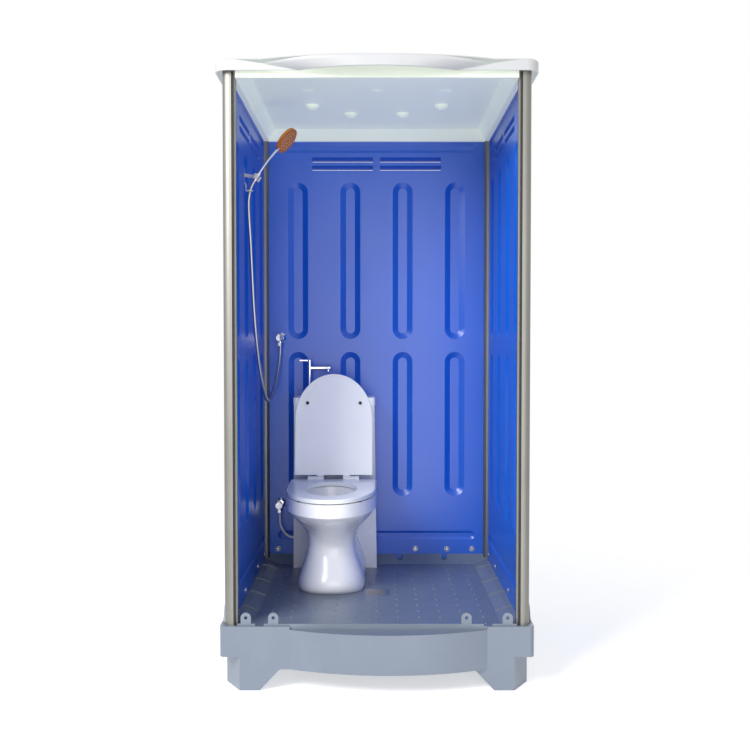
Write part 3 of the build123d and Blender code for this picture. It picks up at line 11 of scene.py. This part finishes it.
import bpy
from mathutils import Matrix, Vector


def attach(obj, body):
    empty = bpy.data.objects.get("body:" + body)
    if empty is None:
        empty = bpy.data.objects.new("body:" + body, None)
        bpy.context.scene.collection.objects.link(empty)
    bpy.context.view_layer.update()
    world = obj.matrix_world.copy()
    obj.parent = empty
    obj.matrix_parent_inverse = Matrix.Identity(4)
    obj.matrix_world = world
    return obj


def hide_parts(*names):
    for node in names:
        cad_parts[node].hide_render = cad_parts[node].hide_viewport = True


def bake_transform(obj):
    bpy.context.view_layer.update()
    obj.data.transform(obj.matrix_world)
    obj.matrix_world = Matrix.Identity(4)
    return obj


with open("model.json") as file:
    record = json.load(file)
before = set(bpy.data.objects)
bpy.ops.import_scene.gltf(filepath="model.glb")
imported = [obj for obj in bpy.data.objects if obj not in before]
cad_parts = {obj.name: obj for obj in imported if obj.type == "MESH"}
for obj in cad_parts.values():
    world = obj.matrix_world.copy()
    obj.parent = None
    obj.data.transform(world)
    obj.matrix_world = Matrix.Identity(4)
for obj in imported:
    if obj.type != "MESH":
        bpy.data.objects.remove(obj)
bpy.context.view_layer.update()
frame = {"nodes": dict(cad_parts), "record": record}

nodes = frame["nodes"]
scene = bpy.context.scene

# %% [markdown]
# The camera stands about 3.8 m in front of the cabin at chest height and looks down by less than
# two degrees. Its place was solved from the straight edges of the base, the posts and the roof, so
# the solids fall on the photograph with no fitting. The lens is given in millimetres, for a sensor
# 36 mm wide.

# %% Camera
sensor_width = 36
focal_length = 45.6
eye = (-0.007, -3.8015, 1.206)
straight_ahead = 90
look_down = 1.8
camera = bpy.data.objects.new("camera", bpy.data.cameras.new("camera"))
scene.collection.objects.link(camera)
camera.data.sensor_width = sensor_width
camera.data.lens = focal_length
camera.location = eye
camera.rotation_euler = (radians(straight_ahead - look_down), 0, 0)
scene.camera = camera
scene.view_settings.view_transform = "Standard"
print("camera at", tuple(camera.location))

# %% [markdown]
# Node trees get long when every node and link is written out. Two small classes keep them readable:
# Graph adds any node in one call, and Link wraps a socket so that sums on it read like plain
# arithmetic. Both work in shader trees and in geometry trees, because the Math node is the same in
# each.


# %% Nodes written as expressions
class Link:
    """One output socket, with the operators that the trees below use."""

    def __init__(self, graph, socket):
        self.graph = graph
        self.socket = socket

    def math(self, operation, first, second=0.0):
        return self.graph.node("ShaderNodeMath", {"operation": operation}, {0: first, 1: second})

    def __add__(self, other):
        return self.math("ADD", self, other)

    def __sub__(self, other):
        return self.math("SUBTRACT", self, other)

    def __rsub__(self, other):
        return self.math("SUBTRACT", other, self)

    def __mul__(self, other):
        return self.math("MULTIPLY", self, other)

    def __truediv__(self, other):
        return self.math("DIVIDE", self, other)

    def __gt__(self, other):
        return self.math("GREATER_THAN", self, other)

    def __lt__(self, other):
        return self.math("LESS_THAN", self, other)

    def fraction(self):
        return self.math("FRACT", self)

    def distance(self):
        return self.math("ABSOLUTE", self)

    def between(self, low, high):
        """One where the value lies between two limits, and zero elsewhere."""
        return (self > low) * (self < high)

    def any(self):
        """One where a sum of masks holds at least one of them."""
        return self > 0.5

    __radd__ = __add__
    __rmul__ = __mul__


class Graph:
    """A node tree with one method that adds a node, sets it up and feeds its sockets."""

    def __init__(self, tree):
        self.tree = tree

    def node(self, kind, settings=None, inputs=None, output=0):
        made = self.tree.nodes.new(kind)
        for name, value in (settings or {}).items():
            if name == "stops":
                self.fill_ramp(made.color_ramp, value)
            else:
                setattr(made, name, value)
        for key, value in (inputs or {}).items():
            self.feed(made.inputs[key], value)
        return Link(self, made.outputs[output])

    def feed(self, socket, value):
        if isinstance(value, Link):
            self.tree.links.new(value.socket, socket)
        else:
            socket.default_value = value

    def fill_ramp(self, ramp, stops):
        for stop, (place, tone) in zip(ramp.elements, stops):
            stop.position = place
            stop.color = (tone, tone, tone, 1)

    def split(self, vector):
        """The three parts of a vector."""
        parts = self.node("ShaderNodeSeparateXYZ", None, {0: vector})
        return [Link(self, socket) for socket in parts.socket.node.outputs]

    def vector(self, operation, inputs, output="Value"):
        """One Vector Math node, with its inputs in order."""
        settings = {"operation": operation}
        return self.node("ShaderNodeVectorMath", settings, dict(enumerate(inputs)), output)


print("node helpers ready")

# %% [markdown]
# Every finish in the cabin is one Principled shader with a few noises in front of it. A class for
# them keeps each recipe short. The noises read Object coordinates: all pieces share one frame, so a
# pattern has the same grain on each of them and runs on from one piece to the next.

# %% Finishes
even = (1, 1, 1)
mix_share, mix_first, mix_second, mix_result = 0, 6, 7, 2


class Finish(Graph):
    """A material on one Principled shader, with the textures that the cabin's finishes share."""

    def __init__(self, name):
        self.material = bpy.data.materials.new(name)
        self.material.use_nodes = True
        super().__init__(self.material.node_tree)
        self.shader = self.tree.nodes["Principled BSDF"]
        self.place = self.node("ShaderNodeTexCoord", output="Object")

    def set(self, **sockets):
        for name, value in sockets.items():
            self.feed(self.shader.inputs[name.replace("_", " ")], value)

    def noise(self, scale, detail=3.0, stretch=even):
        spot = self.place
        if stretch != even:
            spot = self.node("ShaderNodeMapping", None, {"Vector": spot, "Scale": stretch})
        inputs = {"Vector": spot, "Scale": scale, "Detail": detail}
        return self.node("ShaderNodeTexNoise", None, inputs)

    def rise(self, value, low, high):
        """Zero up to one value, one from another on, and a slope between."""
        stops = [(low, 0.0), (high, 1.0)]
        return self.node("ShaderNodeValToRGB", {"stops": stops}, {"Fac": value})

    def mix(self, share, first, second):
        inputs = {mix_share: share, mix_first: first, mix_second: second}
        return self.node("ShaderNodeMix", {"data_type": "RGBA"}, inputs, output=mix_result)

    def bump(self, height, strength, depth):
        inputs = {"Height": height, "Strength": strength, "Distance": depth}
        self.set(Normal=self.node("ShaderNodeBump", None, inputs))


def shade(color, factor=1.0):
    """A colour with its brightness scaled, and full alpha."""
    return tuple(min(part * factor, 1.0) for part in color) + (1.0,)


print("finish helper ready")

# %% [markdown]
# The studio is plain: a pale floor, a white world and large soft lamps. Light Path tells the world
# which rays come from the camera, from reflections or through glass. Those see pure white, as the
# photograph's background is, while the light that falls on the cabin stays at a plain level.

# %% World and lamps
fill_tint = (0.95, 0.97, 1.0)
fill_strength = 0.34
white = (1.0, 1.0, 1.0)
world = bpy.data.worlds.new("studio")
world.use_nodes = True
scene.world = world
sky = Graph(world.node_tree)
camera_ray = sky.node("ShaderNodeLightPath", output="Is Camera Ray")
glossy_ray = sky.node("ShaderNodeLightPath", output="Is Glossy Ray")
glass_ray = sky.node("ShaderNodeLightPath", output="Is Transmission Ray")
seen = (camera_ray + glossy_ray + glass_ray).any()
fill_inputs = {"Color": shade(fill_tint), "Strength": fill_strength}
fill = sky.node("ShaderNodeBackground", None, fill_inputs)
backdrop = sky.node("ShaderNodeBackground", None, {"Color": shade(white), "Strength": 1.0})
mixed = sky.node("ShaderNodeMixShader", None, {0: seen, 1: fill, 2: backdrop})
sky.feed(world.node_tree.nodes["World Output"].inputs["Surface"], mixed)


def soft_lamp(name, place, target, size, power):
    """A square area lamp that points at a target."""
    lamp = bpy.data.objects.new(name, bpy.data.lights.new(name, "AREA"))
    scene.collection.objects.link(lamp)
    lamp.data.size = size
    lamp.data.energy = power
    lamp.location = place
    lamp.rotation_euler = (Vector(target) - Vector(place)).to_track_quat("-Z", "Y").to_euler()
    print(name, power, "W")


soft_lamp("key_lamp", place=(-2.6, -3.5, 3.4), target=(0.4, 0.3, 0.6), size=2.0, power=250)
soft_lamp("front_lamp", place=(0.8, -5.0, 1.0), target=(0, 0.3, 0.6), size=3.6, power=80)
soft_lamp("back_lamp", place=(2.5, 4.2, 4.0), target=(0, 0, 1.2), size=3.0, power=55)

# %% [markdown]
# The floor is one pale sheet. A backdrop with a bent foot could hide the line behind it, but would
# stand in the way of the views from behind. Here the sheet fades out towards its rim instead, and
# a little glow brings it level with the white round it, so that only the cabin's shadow shows.

# %% Floor
floor_half = 3.0
fade_start, fade_end = 1.0, 2.6
floor_dark, floor_light = 0.9, 0.94
floor_roughness = 0.9
floor_glow = 0.5
floor_mesh = bpy.data.meshes.new("floor")
corner_signs = ((-1, -1), (1, -1), (1, 1), (-1, 1))
corners = [(side * floor_half, end * floor_half, 0) for side, end in corner_signs]
floor_mesh.from_pydata(corners, [], [(0, 1, 2, 3)])
floor = bpy.data.objects.new("floor", floor_mesh)
scene.collection.objects.link(floor)
pale = Finish("pale_floor")
grain = pale.noise(scale=3.0)
floor_tone = pale.mix(grain, shade(white, floor_dark), shade(white, floor_light))
reach = pale.vector("LENGTH", [pale.place])
fade = {"Value": reach, "From Min": fade_start, "From Max": fade_end, "To Min": 1.0, "To Max": 0.0}
faded = pale.node("ShaderNodeMapRange", {"interpolation_type": "SMOOTHSTEP"}, fade)
pale.set(Base_Color=floor_tone, Roughness=floor_roughness, Alpha=faded)
pale.set(Emission_Color=shade(white), Emission_Strength=floor_glow)
floor_mesh.materials.append(pale.material)
print("floor", 2 * floor_half, "m wide")

# %% [markdown]
# Two hoses hang in the cabin. The shower hose leaves the valve on the back wall, dips, and climbs to
# the handset; the short white hose feeds the tank. Each is one NURBS curve with its route's points
# as control points, because such a curve bends evenly where a chain of straight pieces would kink.
# The curve is also kept as plain points, from which each hose's length is printed.

# %% Hose routes
shower_route = [
    (-0.4350, 0.4925, 1.2030),
    (-0.4350, 0.4925, 1.1800),
    (-0.4360, 0.4865, 1.1560),
    (-0.4380, 0.4645, 1.1160),
    (-0.4420, 0.4205, 1.0680),
    (-0.4460, 0.3625, 1.0260),
    (-0.4500, 0.2925, 0.9920),
    (-0.4530, 0.2205, 0.9730),
    (-0.4570, 0.1525, 0.9740),
    (-0.4610, 0.0925, 1.0080),
    (-0.4660, 0.0385, 1.0720),
    (-0.4720, -0.0075, 1.1520),
    (-0.4770, -0.0435, 1.2400),
    (-0.4810, -0.0705, 1.3350),
    (-0.4840, -0.0865, 1.4300),
    (-0.4860, -0.1015, 1.5200),
    (-0.4880, -0.1155, 1.6100),
    (-0.4920, -0.1275, 1.6940),
    (-0.4938, -0.1325, 1.7545),
    (-0.4886, -0.1317, 1.7941),
    (-0.4799, -0.1281, 1.8204),
    (-0.4705, -0.1233, 1.8374),
]
supply_route = [
    (-0.4400, 0.4925, 0.4470),
    (-0.4400, 0.4925, 0.4150),
    (-0.4340, 0.4935, 0.3780),
    (-0.4140, 0.4945, 0.3470),
    (-0.3850, 0.4955, 0.3310),
    (-0.3520, 0.4965, 0.3310),
    (-0.3230, 0.4965, 0.3480),
    (-0.3030, 0.4955, 0.3800),
    (-0.2960, 0.4945, 0.4180),
    (-0.2950, 0.4935, 0.4580),
    (-0.2980, 0.4925, 0.4980),
    (-0.2980, 0.4925, 0.5300),
]
curve_order = 3
curve_steps = 12


def route_curve(name, route):
    """One open NURBS spline with the route's points as its control points."""
    data = bpy.data.curves.new(name, "CURVE")
    data.dimensions = "3D"
    spline = data.splines.new("NURBS")
    spline.points.add(len(route) - 1)
    for point, spot in zip(spline.points, route):
        point.co = (*spot, 1)
    spline.order_u = curve_order
    spline.use_endpoint_u = True
    spline.resolution_u = curve_steps
    curve = bpy.data.objects.new(name, data)
    scene.collection.objects.link(curve)
    return curve


def plain_mesh(source):
    """The evaluated shape of an object as a mesh of its own."""
    bpy.context.view_layer.update()
    shown = source.evaluated_get(bpy.context.evaluated_depsgraph_get())
    return bpy.data.meshes.new_from_object(shown)


def curve_line(curve):
    """Points along a curve that has no bevel."""
    line = plain_mesh(curve)
    points = [tuple(vertex.co) for vertex in line.vertices]
    bpy.data.meshes.remove(line)
    return points


def line_length(points):
    """The summed length of the steps between points."""
    return sum((Vector(b) - Vector(a)).length for a, b in zip(points, points[1:]))


shower_curve = route_curve("shower_route", shower_route)
supply_curve = route_curve("supply_route", supply_route)
shower_line = curve_line(shower_curve)
supply_line = curve_line(supply_curve)
for hose_name, line in (("shower hose", shower_line), ("supply hose", supply_line)):
    print(hose_name, round(line_length(line), 3), "m")

# %% [markdown]
# A geometry tree is made like a material: a group with named inputs, and a chain of nodes. The class
# below holds one. Its dress method puts the tree on an object, sets the inputs by their socket
# identifiers, turns the result into a plain mesh and drops the modifier, so that only ordinary
# meshes are left in the scene. Studs, bosses and nozzles are all small balls on points, so the class
# has a method for those too.


# %% Geometry trees
class Maker(Graph):
    """A geometry tree with named inputs, which makes plain meshes."""

    def __init__(self, name, **sizes):
        super().__init__(bpy.data.node_groups.new(name, "GeometryNodeTree"))
        self.name = name
        sockets = self.tree.interface
        sockets.new_socket("Geometry", in_out="INPUT", socket_type="NodeSocketGeometry")
        for size, value in sizes.items():
            kind = "NodeSocketInt" if isinstance(value, int) else "NodeSocketFloat"
            sockets.new_socket(size, in_out="INPUT", socket_type=kind).default_value = value
        sockets.new_socket("Material", in_out="INPUT", socket_type="NodeSocketMaterial")
        sockets.new_socket("Geometry", in_out="OUTPUT", socket_type="NodeSocketGeometry")
        self.given = self.tree.nodes.new("NodeGroupInput")

    def size(self, name):
        return Link(self, self.given.outputs[name])

    def balls(self, points, radius, height, segments, rings):
        """A ball on each point, flattened to the given height."""
        ball_size = {"Segments": segments, "Rings": rings, "Radius": 1.0}
        ball = self.node("GeometryNodeMeshUVSphere", None, ball_size)
        scale = self.node("ShaderNodeCombineXYZ", None, {"X": radius, "Y": radius, "Z": height})
        inputs = {"Points": points, "Instance": ball, "Scale": scale}
        return self.node("GeometryNodeInstanceOnPoints", None, inputs)

    def end(self, geometry):
        """Finish the tree: smooth, real geometry with the given material."""
        smooth = self.node("GeometryNodeSetShadeSmooth", None, {"Geometry": geometry})
        real = self.node("GeometryNodeRealizeInstances", None, {0: smooth})
        inputs = {"Geometry": real, "Material": self.size("Material")}
        painted = self.node("GeometryNodeSetMaterial", None, inputs)
        output = self.tree.nodes.new("NodeGroupOutput")
        self.tree.links.new(painted.socket, output.inputs[0])

    def dress(self, source, name, material, **sizes):
        """A new object with the plain mesh that the tree makes of a source object."""
        modifier = source.modifiers.new(self.name, "NODES")
        modifier.node_group = self.tree
        for item in self.tree.interface.items_tree:
            if item.in_out == "INPUT" and item.name in sizes:
                modifier[item.identifier] = sizes[item.name]
            if item.in_out == "INPUT" and item.name == "Material":
                modifier[item.identifier] = material
        mesh = plain_mesh(source)
        source.modifiers.remove(modifier)
        mesh.name = name
        piece = bpy.data.objects.new(name, mesh)
        scene.collection.objects.link(piece)
        print(name, "faces", len(mesh.polygons))
        return piece


print("geometry helper ready")

# %% [markdown]
# A shower hose is wound from a folded metal strip, which shows as fine rings. A bump could draw them,
# but not their notched outline. This tree walks along the route in short steps and narrows the tube
# a little at the end of each turn of the strip, so the rings are real. The supply hose uses the same
# tree with a finer, shallower ring for its braid.

# %% Hose tree
hose_maker = Maker("wound_hose", Radius=0.007, Pitch=0.004, Groove=0.12, Step=0.001)
hose_sides = 14
half_turn = 0.5
walk = {"Curve": hose_maker.size("Geometry"), "Length": hose_maker.size("Step")}
walked = hose_maker.node("GeometryNodeResampleCurve", {"mode": "LENGTH"}, walk)
along = hose_maker.node("GeometryNodeSplineParameter", output="Length")
turn_part = (along / hose_maker.size("Pitch")).fraction()
wave = (turn_part - half_turn).distance() * 2
swell = 1 - wave * wave * wave * hose_maker.size("Groove")
profile = {"Resolution": hose_sides, "Radius": hose_maker.size("Radius")}
round_wire = hose_maker.node("GeometryNodeCurvePrimitiveCircle", None, profile)
sweep = {"Curve": walked, "Profile Curve": round_wire, "Scale": swell, "Fill Caps": True}
hose_maker.end(hose_maker.node("GeometryNodeCurveToMesh", None, sweep))
print("hose tree nodes", len(hose_maker.tree.nodes))

# %% [markdown]
# Finishes come next. Blow-moulded and rotomoulded plastic has a fine orange-peel skin, slow waves
# where the wall cooled unevenly, and soft scuffs that break up the gloss. One function makes them
# all, and the sizes tell the pieces apart: the walls are glossier than the base, the seat is
# smoothest, and the roof and the ceiling get a painted glow, an emission that stands in for the
# daylight that comes through their thin sheets and evens out their shading.

# %% Moulded plastics
cloud_dark, cloud_light = 0.9, 1.1
rubbed_lift, rubbed_factor = 0.04, 1.15
rubbed_roughness = 0.8
wave_share = 4.0
peel_depth = 0.0008


def moulded(name, color, roughness, peel=0.25, scuff=0.12, painted_glow=0.0, sheen=1.5):
    """Moulded plastic: cloudy colour, orange peel, scuffed gloss and an optional painted glow."""
    skin = Finish(name)
    cloud = skin.noise(scale=2.3, detail=4.0)
    scratch_noise = skin.noise(scale=14.0, detail=8.0, stretch=(1, 1, 0.35))
    scuffed = skin.rise(scratch_noise, low=0.48, high=0.78) * scuff
    tone = skin.mix(cloud, shade(color, cloud_dark), shade(color, cloud_light))
    rubbed = shade([part + rubbed_lift for part in color], rubbed_factor)
    skin.set(Base_Color=skin.mix(scuffed, tone, rubbed))
    skin.set(Roughness=scuffed * rubbed_roughness + roughness, IOR=sheen)
    fine = skin.noise(scale=420.0, detail=2.0)
    slow = skin.noise(scale=9.0, detail=2.0)
    skin.bump(fine + slow * wave_share, peel, peel_depth)
    # Painted glow: an emission in the plastic's own colour that stands in for daylight through a thin
    # sheet.
    if painted_glow:
        skin.set(Emission_Color=shade(color), Emission_Strength=painted_glow)
    return skin.material


wall_blue = (0.004, 0.108, 0.60)
base_grey = (0.15, 0.182, 0.236)
wall_plastic = moulded("wall_plastic", wall_blue, roughness=0.30, peel=0.15, scuff=0.04, sheen=1.66)
base_plastic = moulded("base_plastic", base_grey, roughness=0.34, peel=0.3, scuff=0.2, sheen=1.7)
# The roof and the ceiling liner carry a painted glow, which stands in for light coming through them.
roof_plastic = moulded("roof_plastic", (0.375, 0.382, 0.39), roughness=0.4, peel=0.15, painted_glow=0.6)
liner_plastic = moulded("liner_plastic", (0.78, 0.84, 0.72), roughness=0.36, peel=0.2, painted_glow=0.33)
pipe_plastic = moulded("pipe_plastic", (0.42, 0.43, 0.44), roughness=0.4)
works_plastic = moulded("works_plastic", (0.80, 0.80, 0.77), roughness=0.4)
seat_plastic = moulded("seat_plastic", (0.86, 0.88, 0.92), roughness=0.16, peel=0.05, scuff=0.03)
hose_white = moulded("hose_white", (0.82, 0.83, 0.84), roughness=0.35)
satin_white = moulded("satin_white", (0.82, 0.78, 0.70), roughness=0.25, peel=0.02, scuff=0.02)
print("moulded plastics ready")

# %% [markdown]
# Metals differ mostly in how their surface was worked. The posts are drawn through a die and
# anodised, so fine lines run up them; the drain is brushed across; the fittings are plated and
# mirror-like, with faint water marks. Stretching one noise along an axis gives the direction of the
# work, where a painted texture would need its own layout for each piece.

# %% Metals and rubber
metal_dark, metal_light = 0.9, 1.08
line_share = 0.16
line_bump, line_depth = 0.08, 0.0004
mark_dark, mark_roughness = 0.88, 0.12
dust_share, dust_grey = 0.3, (0.1, 0.1, 0.1)
pore_bump, pore_depth = 0.3, 0.0004


def worked_metal(name, color, roughness, stretch=even):
    """Bare metal with fine lines along the direction it was worked in."""
    bare = Finish(name)
    line = bare.noise(scale=60.0, detail=4.0, stretch=stretch)
    tint = bare.noise(scale=5.0, detail=2.0)
    tone = bare.mix(tint, shade(color, metal_dark), shade(color, metal_light))
    bare.set(Base_Color=tone, Metallic=1.0, Roughness=line * line_share + roughness)
    bare.bump(line, line_bump, line_depth)
    return bare.material


def plated(name, color, roughness):
    """Polished plating with faint water marks."""
    plate = Finish(name)
    mark = plate.rise(plate.noise(scale=38.0, detail=6.0), low=0.52, high=0.7)
    tone = plate.mix(mark, shade(color), shade(color, mark_dark))
    plate.set(Base_Color=tone, Metallic=1.0, Roughness=mark * mark_roughness + roughness)
    return plate.material


def matt_rubber(name, color, roughness):
    """Black rubber with dust in its pores."""
    band = Finish(name)
    dust = band.rise(band.noise(scale=90.0, detail=5.0), low=0.5, high=0.8)
    tone = band.mix(dust * dust_share, shade(color), shade(dust_grey))
    band.set(Base_Color=tone, Roughness=roughness)
    band.bump(band.noise(scale=600.0, detail=2.0), pore_bump, pore_depth)
    return band.material


up_the_post = (8, 8, 0.05)
across_the_drain = (0.1, 6, 6)
post_aluminium = worked_metal("post_aluminium", (0.26, 0.255, 0.235), roughness=0.42, stretch=up_the_post)
screw_steel = worked_metal("screw_steel", (0.72, 0.71, 0.69), roughness=0.2)
drain_steel = worked_metal("drain_steel", (0.58, 0.56, 0.52), roughness=0.3, stretch=across_the_drain)
hose_steel = worked_metal("hose_steel", (0.52, 0.51, 0.50), roughness=0.24)
stub_brass = worked_metal("stub_brass", (0.72, 0.52, 0.24), roughness=0.25)
fitting_chrome = plated("fitting_chrome", (0.80, 0.80, 0.81), roughness=0.07)
seal_rubber = matt_rubber("seal_rubber", (0.018, 0.018, 0.018), roughness=0.72)
print("metals ready")

# %% [markdown]
# Glazed ceramic is a white body under a clear glassy coat. The coat gives the sharp highlight, and
# the body is very slightly uneven, so highlights wander a little as they do on a real bowl.

# %% Ceramic
glaze_dark, glaze_light = (0.84, 0.85, 0.88), (0.90, 0.905, 0.92)
glaze_even, glaze_change = 0.2, 0.12
glaze = Finish("white_glaze")
glaze_tone = glaze.mix(glaze.noise(scale=3.5), shade(glaze_dark), shade(glaze_light))
glaze_roughness = glaze.noise(scale=20.0, detail=4.0) * glaze_change + glaze_even
glaze.set(Base_Color=glaze_tone, Roughness=glaze_roughness, Coat_Weight=0.4, Coat_Roughness=0.1)
glaze.bump(glaze.noise(scale=12.0, detail=2.0), strength=0.06, depth=0.002)
print("ceramic ready")

# %% [markdown]
# The handset is orange on its face and all round its rim, and dark on its domed back. The head is one
# solid, so the finish has to tell the two apart: it measures each point along the spray direction,
# from the middle of the head, and turns dark behind a set depth.

# %% Handset
head_middle = Vector((-0.353, -0.0595, 2.006))
spray_direction = Vector((0.74, -0.22, -0.60)).normalized()
back_depth = -0.0045
amber_dark, amber_light = (0.62, 0.17, 0.003), (0.78, 0.26, 0.008)
back_black = (0.015, 0.015, 0.02)
handset = Finish("handset_orange")
from_middle = handset.vector("SUBTRACT", [handset.place, tuple(head_middle)], output="Vector")
forward = handset.vector("DOT_PRODUCT", [from_middle, tuple(spray_direction)])
amber = handset.mix(handset.noise(scale=30.0), shade(amber_dark), shade(amber_light))
two_tone = handset.mix(forward < back_depth, amber, shade(back_black))
handset.set(Base_Color=two_tone, Roughness=0.22)
handset.bump(handset.noise(scale=300.0, detail=2.0), strength=0.08, depth=0.0005)
print("handset ready")

# %% [markdown]
# Each CAD node has one material slot. Giving every node its finish here, in one table, also shows at
# a glance which pieces are made alike. Only the shower bracket has a finish of its own: it is satin
# white, beside the mirror-like fittings.

# %% Dress the CAD nodes
finish_of = {
    "base_plastic": base_plastic,
    "wall_plastic": wall_plastic,
    "roof_plastic": roof_plastic,
    "liner_plastic": liner_plastic,
    "post_aluminium": post_aluminium,
    "seal_rubber": seal_rubber,
    "screw_steel": screw_steel,
    "drain_steel": drain_steel,
    "pipe_plastic": pipe_plastic,
    "sanitary_ceramic": glaze.material,
    "seat_plastic": seat_plastic,
    "works_plastic": works_plastic,
    "hose_white": hose_white,
    "chrome": fitting_chrome,
    "hose_steel": hose_steel,
    "stub_brass": stub_brass,
    "handset_orange": handset.material,
}
for entry in frame["record"]["subparts"]:
    piece = nodes[entry["node"]]
    piece.data.materials.clear()
    piece.data.materials.append(finish_of[entry["material_slot"]])
nodes["shower_bracket"].data.materials[0] = satin_white

# %% [markdown]
# The wound hoses now take the place of their plain CAD tubes. The shower hose keeps its place in the
# shared frame, and the supply hose is attached to the cabin.

# %% Hoses
shower_hose = hose_maker.dress(shower_curve, "wound_shower_hose", hose_steel)
braid = {"Radius": 0.005, "Pitch": 0.0024, "Groove": 0.07, "Step": 0.0008}
supply_hose = hose_maker.dress(supply_curve, "braided_supply_hose", hose_white, **braid)
for curve in (shower_curve, supply_curve):
    bpy.data.objects.remove(curve)
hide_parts("shower_hose")
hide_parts("supply_hose")
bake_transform(shower_hose)
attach(supply_hose, "cabin")

# %% [markdown]
# The floor is covered with low round studs for grip. As a bump they would not catch the light at the
# flat angle that the floor is seen from, so they are real. They stand on a regular grid: a tree lays
# a grid of points, removes those under the toilet and round the drain, and puts a flattened ball on
# each of the others, with its lower half inside the floor.

# %% Floor studs
floor_top = 0.212
floor_middle = (0.0, 0.0035)
tank_left, tank_right, tank_front = -0.40, 0.03, 0.36
foot_left, foot_right, foot_front = -0.345, -0.025, -0.07
drain_half, drain_front, drain_rear = 0.075, -0.085, 0.066
grid_sizes = {"Pitch_X": 0.078, "Pitch_Y": 0.080, "Columns": 11, "Rows": 12}
stud_maker = Maker("stud_field", **grid_sizes, Radius=0.0065, Height=0.0026)
columns, rows = stud_maker.size("Columns"), stud_maker.size("Rows")
grid_inputs = {"Vertices X": columns, "Vertices Y": rows}
grid_inputs["Size X"] = stud_maker.size("Pitch_X") * (columns - 1)
grid_inputs["Size Y"] = stud_maker.size("Pitch_Y") * (rows - 1)
grid = stud_maker.node("GeometryNodeMeshGrid", None, grid_inputs)
shift = {"Geometry": grid, "Translation": (*floor_middle, floor_top)}
field = stud_maker.node("GeometryNodeTransform", None, shift)
x, y = stud_maker.split(stud_maker.node("GeometryNodeInputPosition"))[:2]
under_tank = x.between(tank_left, tank_right) * (y > tank_front)
under_foot = x.between(foot_left, foot_right) * (y > foot_front)
round_drain = x.between(-drain_half, drain_half) * y.between(drain_front, drain_rear)
covered = {"Geometry": field, "Selection": (under_tank + under_foot + round_drain).any()}
kept = stud_maker.node("GeometryNodeDeleteGeometry", None, covered)
stud_radius, stud_height = stud_maker.size("Radius"), stud_maker.size("Height")
stud_maker.end(stud_maker.balls(kept, stud_radius, stud_height, segments=12, rings=6))
blank = bpy.data.objects.new("blank", bpy.data.meshes.new("blank"))
scene.collection.objects.link(blank)
floor_studs = stud_maker.dress(blank, "floor_studs", base_plastic)
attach(floor_studs, "cabin")

# %% [markdown]
# Four round bosses hang from the middle of the ceiling. They are drawn into the thin sheet when it is
# formed, and stiffen it. The tree takes four points as its geometry and puts a flattened ball on
# each, half inside the sheet.

# %% Ceiling bosses
ceiling = 2.172
boss_rows = ((0.26, 0.0625), (0.108, 0.2005))
boss_spots = [(side * out, back, ceiling) for out, back in boss_rows for side in (-1, 1)]
boss_mesh = bpy.data.meshes.new("boss_points")
boss_mesh.from_pydata(boss_spots, [], [])
boss_points = bpy.data.objects.new("boss_points", boss_mesh)
scene.collection.objects.link(boss_points)
boss_maker = Maker("boss_field", Radius=0.026, Drop=0.021)
boss_radius, boss_drop = boss_maker.size("Radius"), boss_maker.size("Drop")
spots = boss_maker.size("Geometry")
boss_maker.end(boss_maker.balls(spots, boss_radius, boss_drop, segments=32, rings=16))
ceiling_bosses = boss_maker.dress(boss_points, "ceiling_bosses", liner_plastic)
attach(ceiling_bosses, "cabin")
bpy.data.objects.remove(boss_points)

# %% [markdown]
# The handset's face carries soft nozzles in rings. On the real one they are silicone, moulded in one
# sheet and pressed through the plate, so that lime can be rubbed off. The tree makes three rings of
# points, turns them until they lie on the plate, and puts a small ball on each, half sunk. How far
# forward the plate lies is measured on its own mesh.

# %% Handset nozzles
face_plate = nodes["handset_faceplate"]
plate_spots = [face_plate.matrix_world @ vertex.co for vertex in face_plate.data.vertices]
face_depth = max((spot - head_middle).dot(spray_direction) for spot in plate_spots)
face_middle = head_middle + face_depth * spray_direction
face_turn = spray_direction.to_track_quat("Z", "Y").to_euler()
nozzle_counts = {"Inner": 8, "Middle": 15, "Outer": 24}
nozzle_maker = Maker("nozzle_rings", Inner=0.012, Middle=0.024, Outer=0.036, Radius=0.0022)
rings = nozzle_maker.node("GeometryNodeJoinGeometry")
for ring, count in nozzle_counts.items():
    ring_size = {"Vertices": count, "Radius": nozzle_maker.size(ring)}
    circle = nozzle_maker.node("GeometryNodeMeshCircle", None, ring_size)
    nozzle_maker.feed(rings.socket.node.inputs["Geometry"], circle)
lay = {"Geometry": rings, "Translation": tuple(face_middle), "Rotation": tuple(face_turn)}
laid = nozzle_maker.node("GeometryNodeTransform", None, lay)
nozzle_radius = nozzle_maker.size("Radius")
nozzle_maker.end(nozzle_maker.balls(laid, nozzle_radius, nozzle_radius, segments=10, rings=6))
nozzle_rubber = moulded("nozzle_rubber", (0.74, 0.44, 0.24), roughness=0.5)
nozzles = nozzle_maker.dress(blank, "handset_nozzles", nozzle_rubber)
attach(nozzles, "handset")
print("face plate", round(face_depth * 1000, 2), "mm before the middle of the head")

# %% [markdown]
# Before the script ends, the empty object that the geometry trees were run on is removed.

# %% End
bpy.data.objects.remove(blank)
